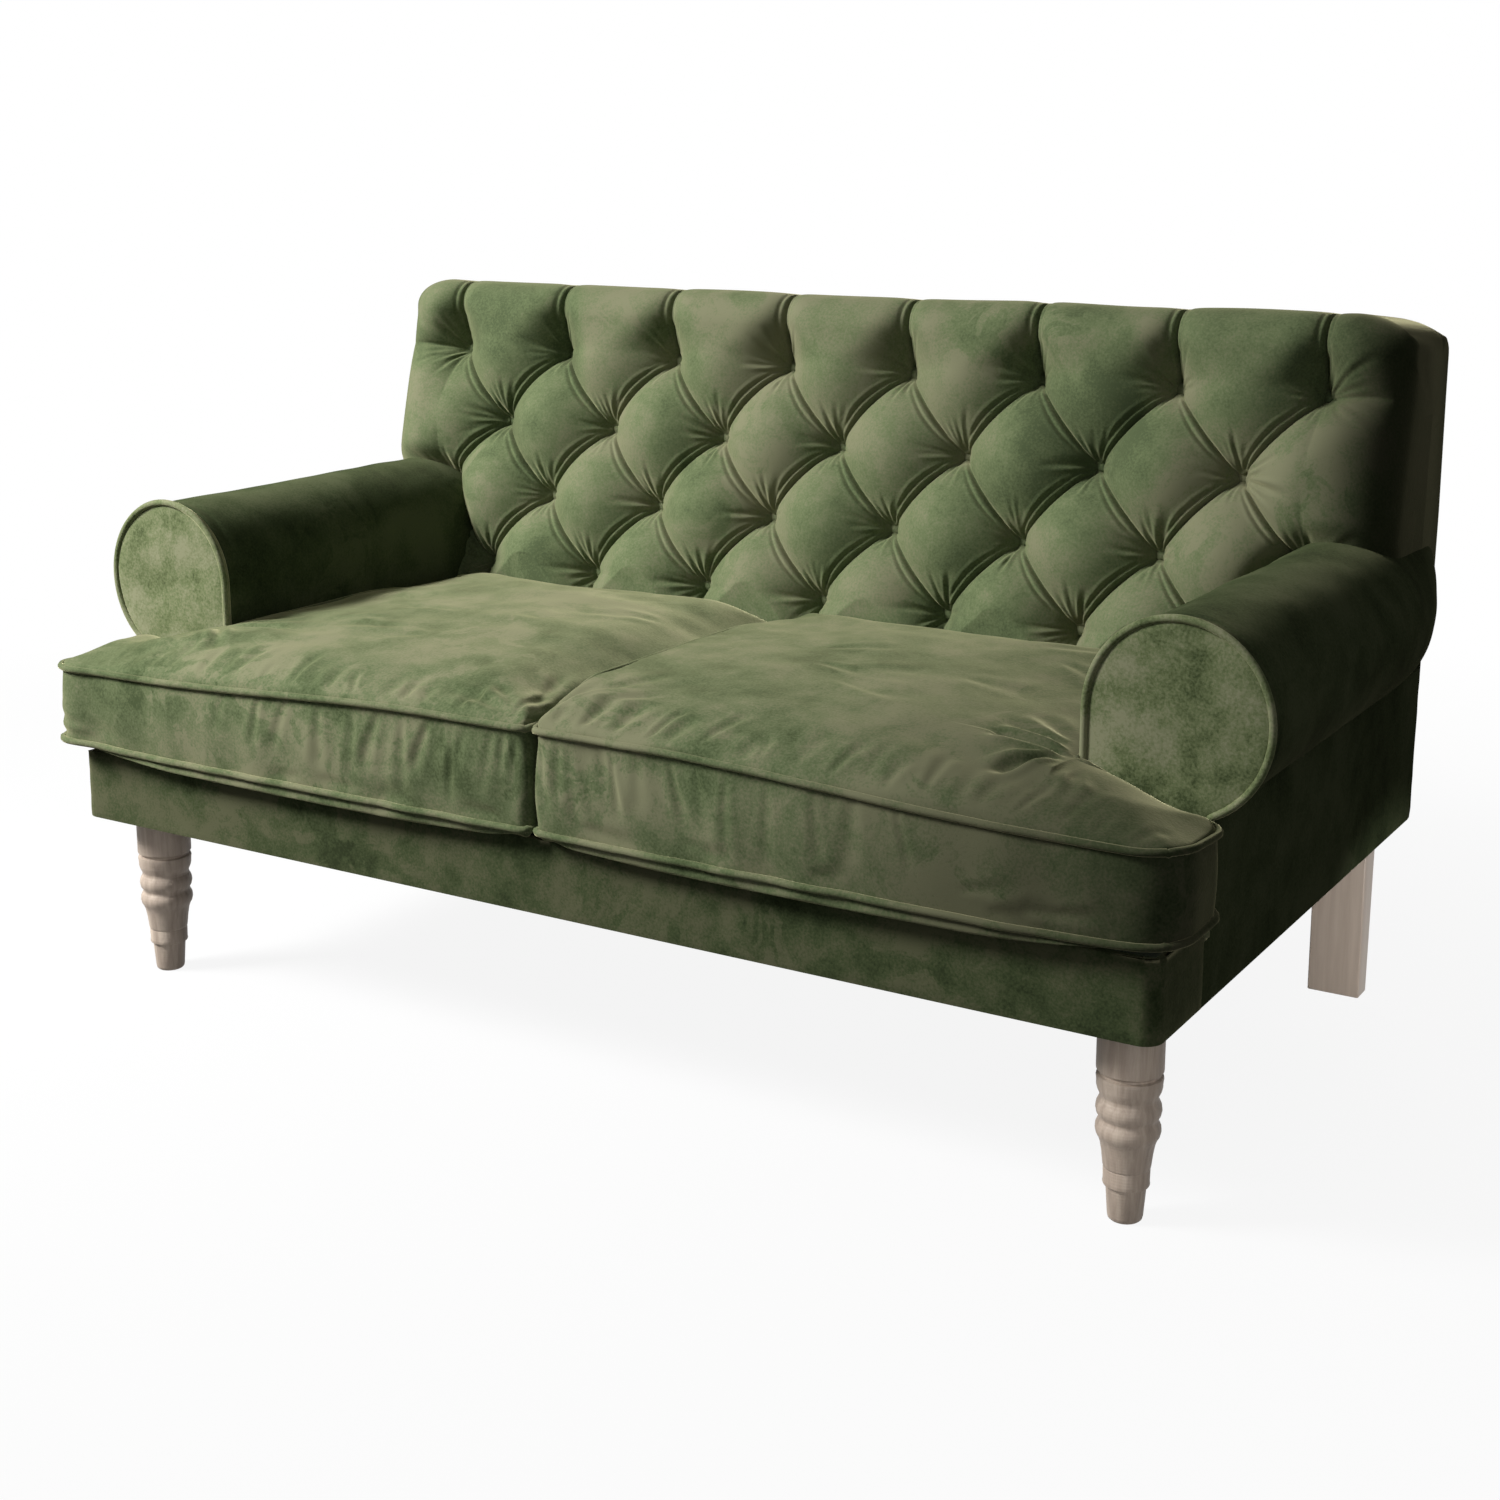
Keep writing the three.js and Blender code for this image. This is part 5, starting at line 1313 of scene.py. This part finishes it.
def select_where(block, kind, test):
    """Selects the faces, edges or corners of an open mesh that pass a test in millimetres."""
    bpy.ops.mesh.select_mode(type={"faces": "FACE", "edges": "EDGE", "verts": "VERT"}[kind])
    bpy.ops.mesh.select_all(action="DESELECT")
    shape = bmesh.from_edit_mesh(block.data)
    for item in getattr(shape, kind):
        if test(item):
            item.select_set(True)
    shape.select_flush_mode()
    bmesh.update_edit_mesh(block.data)


def middle_of(item):
    corners = [corner.co for corner in item.verts]
    return sum(corners, Vector()) / len(corners) / MM


def runs_along(edge, axis, least=0.0):
    step = (edge.verts[1].co - edge.verts[0].co) / MM
    return abs(step[axis]) > 0.9 * step.length and step.length > least


def cut_into(block, axis, spacing):
    """Cuts the long edges of a block along an axis, so cloth folds have points to move."""
    shape = bmesh.from_edit_mesh(block.data)
    low = min(v.co[axis] for v in shape.verts) / MM
    high = max(v.co[axis] for v in shape.verts) / MM
    normal = [0, 0, 0]
    normal[axis] = 1
    count = int((high - low) / spacing)
    for k in range(1, count):
        place = [0, 0, 0]
        place[axis] = (low + (high - low) * k / count) * MM
        bpy.ops.mesh.select_all(action="SELECT")
        bpy.ops.mesh.bisect(plane_co=place, plane_no=normal)


def clouds(name, size):
    texture = bpy.data.textures.new(name, "CLOUDS")
    texture.noise_scale = size
    texture.noise_depth = 2
    return texture


slack = clouds("slack_cloth", 0.09)
puckers = clouds("puckered_cloth", 0.03)


def covered(block, edge=3.0, finish=velvet):
    """Velvet drawn over a board: soft edges and slight slack in the cloth."""
    bpy.ops.object.mode_set(mode="OBJECT")
    finish_with(block, "BEVEL", width=edge * MM, segments=3, limit_method="ANGLE",
                angle_limit=math.radians(50))
    drawn = points_of(block)
    finish_with(block, "DISPLACE", texture=slack, texture_coords="LOCAL", strength=0.0036,
                mid_level=0.5)
    finish_with(block, "DISPLACE", texture=puckers, texture_coords="LOCAL", strength=0.0012,
                mid_level=0.5)
    slackened = points_of(block)
    tacked = drawn[:, 2] < drawn[:, 2].min() + 4
    slackened[tacked] = drawn[tacked]
    move_points(block, slackened)
    dress(block, finish)
    block.data.polygons.foreach_set("use_smooth", np.ones(len(block.data.polygons), bool))


def front_border():
    """One strip of cloth along the front that turns both corners and ends at the arms."""
    border = new_block("front_border_cover", (-BODY_HALF, BORDER_FRONT, COVER_FOOT),
                       (BODY_HALF, ARM_FRONT - 0.3, DECK_TOP))
    select_where(border, "faces", lambda f: abs(f.normal.z) > 0.9 or f.normal.y > 0.9)
    bpy.ops.mesh.delete(type="FACE")
    select_where(border, "edges", lambda e: runs_along(e, 2)
                 and middle_of(e).y < BORDER_FRONT + 1)
    bpy.ops.mesh.bevel(offset=22 * MM, segments=8, affect="EDGES")
    bpy.ops.mesh.select_mode(type="FACE")
    cut_into(border, 0, 9.0)
    cut_into(border, 1, 12.0)
    cut_into(border, 2, 9.0)
    bpy.ops.object.mode_set(mode="OBJECT")
    finish_with(border, "SOLIDIFY", thickness=9 * MM, offset=-1.0)
    bpy.ops.object.mode_set(mode="EDIT")
    # the border takes the darker velvet, whose darkness is painted shade
    covered(border, 2.5, velvet_border_painted_shade)
    points = points_of(border)
    full = 8 * smooth(600, BODY_HALF, -points[:, 0])
    points[:, 0] -= full * (1 - smooth(BORDER_FRONT + 50, ARM_FRONT, points[:, 1]))
    end = BODY_HALF + 8 + points[:, 0]
    above = smooth(DECK_TOP - 45, DECK_TOP, points[:, 2])
    above *= 1 - smooth(BORDER_FRONT + 30, BORDER_FRONT + 80, points[:, 1])
    points[:, 2] -= above * round_off(np.clip(end, 0, None), 17.0)
    under = smooth(COVER_FOOT + 20, COVER_FOOT, points[:, 2])
    points[:, 2] += under * round_off(np.clip(end, 0, None), 12.0)
    move_points(border, points)
    turned_out(border)
    fitted(border, "sofa_frame", "velvet", "front_border", fill=0.9)


def side_panel(name, side):
    """The board under a roll, with a low strip that runs forward to the border."""
    x = sorted((side * NECK, side * BODY_HALF))
    panel = new_block(f"side_panel_cover_{name}", (x[0], ARM_BODY_FRONT, COVER_FOOT),
                      (x[1], ARM_REAR - 6, PANEL_TOP))
    for item in bmesh.from_edit_mesh(panel.data).verts:
        if item.co.y > 0.3:
            item.co.y = (449.7 if item.co.z < 0.3 else 461.3) * MM
    bmesh.update_edit_mesh(panel.data)
    bpy.ops.mesh.select_all(action="SELECT")
    bpy.ops.mesh.bisect(plane_co=(0, 0, 300.6 * MM), plane_no=(0, 0, 1))
    select_where(panel, "faces", lambda f: f.normal.y < -0.9 and middle_of(f).z < 300)
    bpy.ops.mesh.extrude_region_move(TRANSFORM_OT_translate={"value": (0, -12.3 * MM, 0)})
    cut_into(panel, 1, 11.0)
    cut_into(panel, 2, 9.0)
    # the side panel takes the darker velvet, whose darkness is painted shade
    covered(panel, 2.5, velvet_dark_painted_shade)
    fitted(panel, "sofa_frame", "velvet", f"side_panel_{name}", fill=0.9)


def outside_back():
    """The board behind the back, which draws forwards below its fold."""
    panel = new_block("outside_back_cover", (-BACK_HALF + 10, 474.0, COVER_FOOT),
                      (BACK_HALF - 10, 480.0, 858.0))
    bpy.ops.mesh.select_all(action="SELECT")
    bpy.ops.mesh.bisect(plane_co=(0, 0, 640 * MM), plane_no=(0, 0, 1))
    select_where(panel, "verts", lambda v: v.co.z < 0.3)
    bpy.ops.transform.translate(value=(0, -24 * MM, 0))
    bpy.ops.mesh.select_mode(type="FACE")
    cut_into(panel, 0, 14.0)
    cut_into(panel, 2, 14.0)
    covered(panel, 2.0)
    fitted(panel, "sofa_frame", "velvet", "outside_back", fill=0.9)


front_border()
for name, side in SIDES.items():
    side_panel(name, side)
outside_back()


# Legs
LEG_TOP = 230.0
FRONT_LEG = (701.0, -382.0)
SQUARE_LEG_X = 695.5
SQUARE_LEG_HALF = 34.5

# radius and height, from the foot up
LEG_PROFILE = [
    (0, 0), (16.5, 0), (18.2, 1.6), (19, 5), (21.4, 36.5), (21.6, 38), (24.4, 39.5),
    (25, 41), (24.6, 44), (24.9, 57), (24.4, 58.6), (25.2, 60), (25.6, 62), (27.2, 76),
    (29, 86), (31, 92), (33.4, 96), (34.6, 101), (34.2, 106), (32.4, 110), (30.8, 113),
    (31, 115), (33.6, 119), (34.8, 124.5), (34, 130), (31.6, 135), (30.6, 138), (31.4, 141),
    (33.6, 146), (34.6, 150), (34.8, 156), (35.4, 160), (34.8, 162), (32.2, 163.4),
    (31.8, 165.2), (33.6, 166.8), (35.3, 168.2), (35.5, 170), (35.5, 226), (34, 229.6),
    (0, 229.6),
]


def turned_leg(name, side):
    """A leg turned on the lathe: its outline is spun round the upright axis."""
    centre = Vector((side * FRONT_LEG[0], FRONT_LEG[1], 0)) * MM
    outline = bpy.data.meshes.new(f"turned_leg_{name}")
    corners = [centre + Vector((r * MM, 0, h * MM)) for r, h in LEG_PROFILE]
    outline.from_pydata(corners, [(k, k + 1) for k in range(len(corners) - 1)], [])
    leg = in_scene(outline.name, outline)
    open_mesh(leg)
    bpy.ops.mesh.spin(steps=64, angle=2 * math.pi, center=centre, axis=(0, 0, 1))
    bpy.ops.object.mode_set(mode="OBJECT")
    turned_out(leg, merge=0.02)
    dress(leg, turned_oak)
    bpy.ops.object.shade_smooth_by_angle(angle=math.radians(35))
    fitted(leg, "sofa_frame", "weathered_oak", f"front_leg_{name}")


def square_leg(name, side):
    """A plain rear leg, with its foot drawn in a little at the rear."""
    low = (side * SQUARE_LEG_X - SQUARE_LEG_HALF, 356.0, 0)
    high = (side * SQUARE_LEG_X + SQUARE_LEG_HALF, 398.0, LEG_TOP)
    leg = new_block(f"square_leg_{name}", low, high)
    for item in bmesh.from_edit_mesh(leg.data).verts:
        if item.co.z < 0.1 and item.co.y > 0.38:
            item.co.y = 390 * MM
    bmesh.update_edit_mesh(leg.data)
    bpy.ops.mesh.select_all(action="SELECT")
    bpy.ops.mesh.select_mode(type="EDGE")
    bpy.ops.mesh.bevel(offset=2.2 * MM, segments=3, affect="EDGES")
    bpy.ops.object.mode_set(mode="OBJECT")
    # the rear leg takes the lighter oak, partly painted light
    dress(leg, planed_oak_painted_light)
    bpy.ops.object.shade_smooth_by_angle(angle=math.radians(35))
    fitted(leg, "sofa_frame", "weathered_oak", f"rear_leg_{name}")


for name, side in SIDES.items():
    turned_leg(name, side)
    square_leg(name, side)


# Finishes of the frame inside, by the first words of a node's name
INSIDE = {
    "seat_spring": steel, "front_spring": steel, "rear_spring": steel, "front_leg_bolt": steel,
    "rear_leg_bolt": steel, "seat_deck": deck_cloth, "dust_cover": dust_cloth,
    "back_strap": webbing, "arm_former": fibreboard, "front_rail": pine, "back_rail": pine,
    "side_rail": pine, "rear_seat_rail": pine, "centre_brace": pine, "front_corner": pine,
    "rear_corner": pine, "arm_board": pine, "arm_post": pine, "scroll_board": pine,
    "back_post": pine, "back_lower": pine, "back_top": pine, "back_centre": pine,
    "back_tack": pine,
}
for node_name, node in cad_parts.items():
    for start, finish in INSIDE.items():
        if node_name.startswith(start):
            for place in node.material_slots:
                place.material = finish


# Floor, light and camera
def studio_floor():
    """A pale floor that the camera sees as white, with the sofa's shadow left in it."""
    finish = new_finish("matt_white_floor")
    rays = add_node(finish, "ShaderNodeLightPath")
    tone = add_node(finish, "ShaderNodeMapRange", {
        "Value": rays.outputs["Is Camera Ray"], "To Min": 0.12, "To Max": 0.7})
    bare = add_node(finish, "ShaderNodeBsdfDiffuse", {"Color": tone.outputs["Result"]})
    glow = add_node(finish, "ShaderNodeEmission", {"Color": (1, 1, 1, 1), "Strength": 1.0})
    seen = add_node(finish, "ShaderNodeMath", {
        0: rays.outputs["Is Camera Ray"], 1: rays.outputs["Is Glossy Ray"]},
        operation="MAXIMUM")
    place = add_node(finish, "ShaderNodeTexCoord").outputs["Object"]
    away = add_node(finish, "ShaderNodeVectorMath", {0: place}, operation="LENGTH")
    share = add_node(finish, "ShaderNodeMapRange", {
        "Value": away.outputs["Value"], "From Min": 0.6, "From Max": 2.6,
        "To Min": 0.9, "To Max": 1.0})
    white = add_node(finish, "ShaderNodeMath", {
        0: seen.outputs[0], 1: share.outputs["Result"]}, operation="MULTIPLY")
    both = add_node(finish, "ShaderNodeMixShader", {
        0: white.outputs[0], 1: bare.outputs[0], 2: glow.outputs[0]})
    add_node(finish, "ShaderNodeOutputMaterial", {"Surface": both.outputs[0]})
    bpy.ops.object.select_all(action="DESELECT")
    bpy.ops.mesh.primitive_plane_add(size=16, location=(0, 0, -0.0005))
    floor = bpy.context.object
    floor.name = "floor"
    floor.data.materials.append(finish)


def studio_world():
    """A dim white sky on the sofa, which the camera and gloss see at full white."""
    world = bpy.data.worlds.new("studio")
    world.use_nodes = True
    bpy.context.scene.world = world
    world.node_tree.nodes.clear()
    rays = add_node(world, "ShaderNodeLightPath")
    seen = add_node(world, "ShaderNodeMath", {
        0: rays.outputs["Is Camera Ray"], 1: rays.outputs["Is Glossy Ray"]},
        operation="MAXIMUM")
    either = add_node(world, "ShaderNodeMath", {
        0: seen.outputs[0], 1: rays.outputs["Is Transmission Ray"]}, operation="MAXIMUM")
    strength = add_node(world, "ShaderNodeMapRange", {
        "Value": either.outputs[0], "To Min": 0.08, "To Max": 1.0})
    sky = add_node(world, "ShaderNodeBackground", {
        "Color": (1, 1, 1, 1), "Strength": strength.outputs[0]})
    add_node(world, "ShaderNodeOutputWorld", {"Surface": sky.outputs[0]})


def lamp(name, kind, place, target, power):
    """A lamp at a place, turned to a target, both in metres."""
    light = bpy.data.lights.new(name, kind)
    light.energy = power
    holder = in_scene(name, light)
    holder.location = place
    holder.rotation_euler = (Vector(target) - Vector(place)).to_track_quat("-Z", "Y").to_euler()
    return light


def soft_light(name, place, target, size, power, spread=180.0):
    """A wide square lamp, as a soft box gives."""
    light = lamp(name, "AREA", place, target, power)
    light.size = size
    light.spread = math.radians(spread)


def leg_light(name, place, target, spread, power):
    """A narrow low beam that picks a leg out of the sofa's shade."""
    light = lamp(name, "SPOT", place, target, power)
    light.spot_size = math.radians(spread)
    light.spot_blend = 0.3
    light.shadow_soft_size = 0.05


studio_floor()
studio_world()
soft_light("key", (-3.2, -2.7, 3.5), (-0.8, -0.1, 0.6), 1.6, 64, 60.0)
soft_light("fill", (2.6, -3.2, 1.4), (-0.5, 0, 0.4), 1.5, 14)
soft_light("rear_fill", (-0.9, 3.4, 1.9), (0, 0.4, 0.5), 1.8, 12)
leg_light("rear_leg", (2.2, -1.2, 0.12), (0.7, 0.37, 0.11), 8.5, 105)
leg_light("front_leg_near", (1.6, -2.0, 0.12), (0.7, -0.38, 0.11), 8.0, 24)
leg_light("front_leg_far", (-0.2, -2.4, 0.12), (-0.7, -0.38, 0.11), 8.0, 16)

camera = bpy.data.cameras.new("camera")
camera.lens = 53.232
camera.sensor_width = 36.0
camera.shift_y = -0.1
camera_holder = in_scene("camera", camera)
camera_holder.location = (1.49687, -2.433634, 1.105359)
camera_holder.rotation_euler = (math.radians(90 - 11.5), 0, math.radians(31.56))
bpy.context.scene.camera = camera_holder
bpy.context.scene.view_settings.view_transform = "Standard"
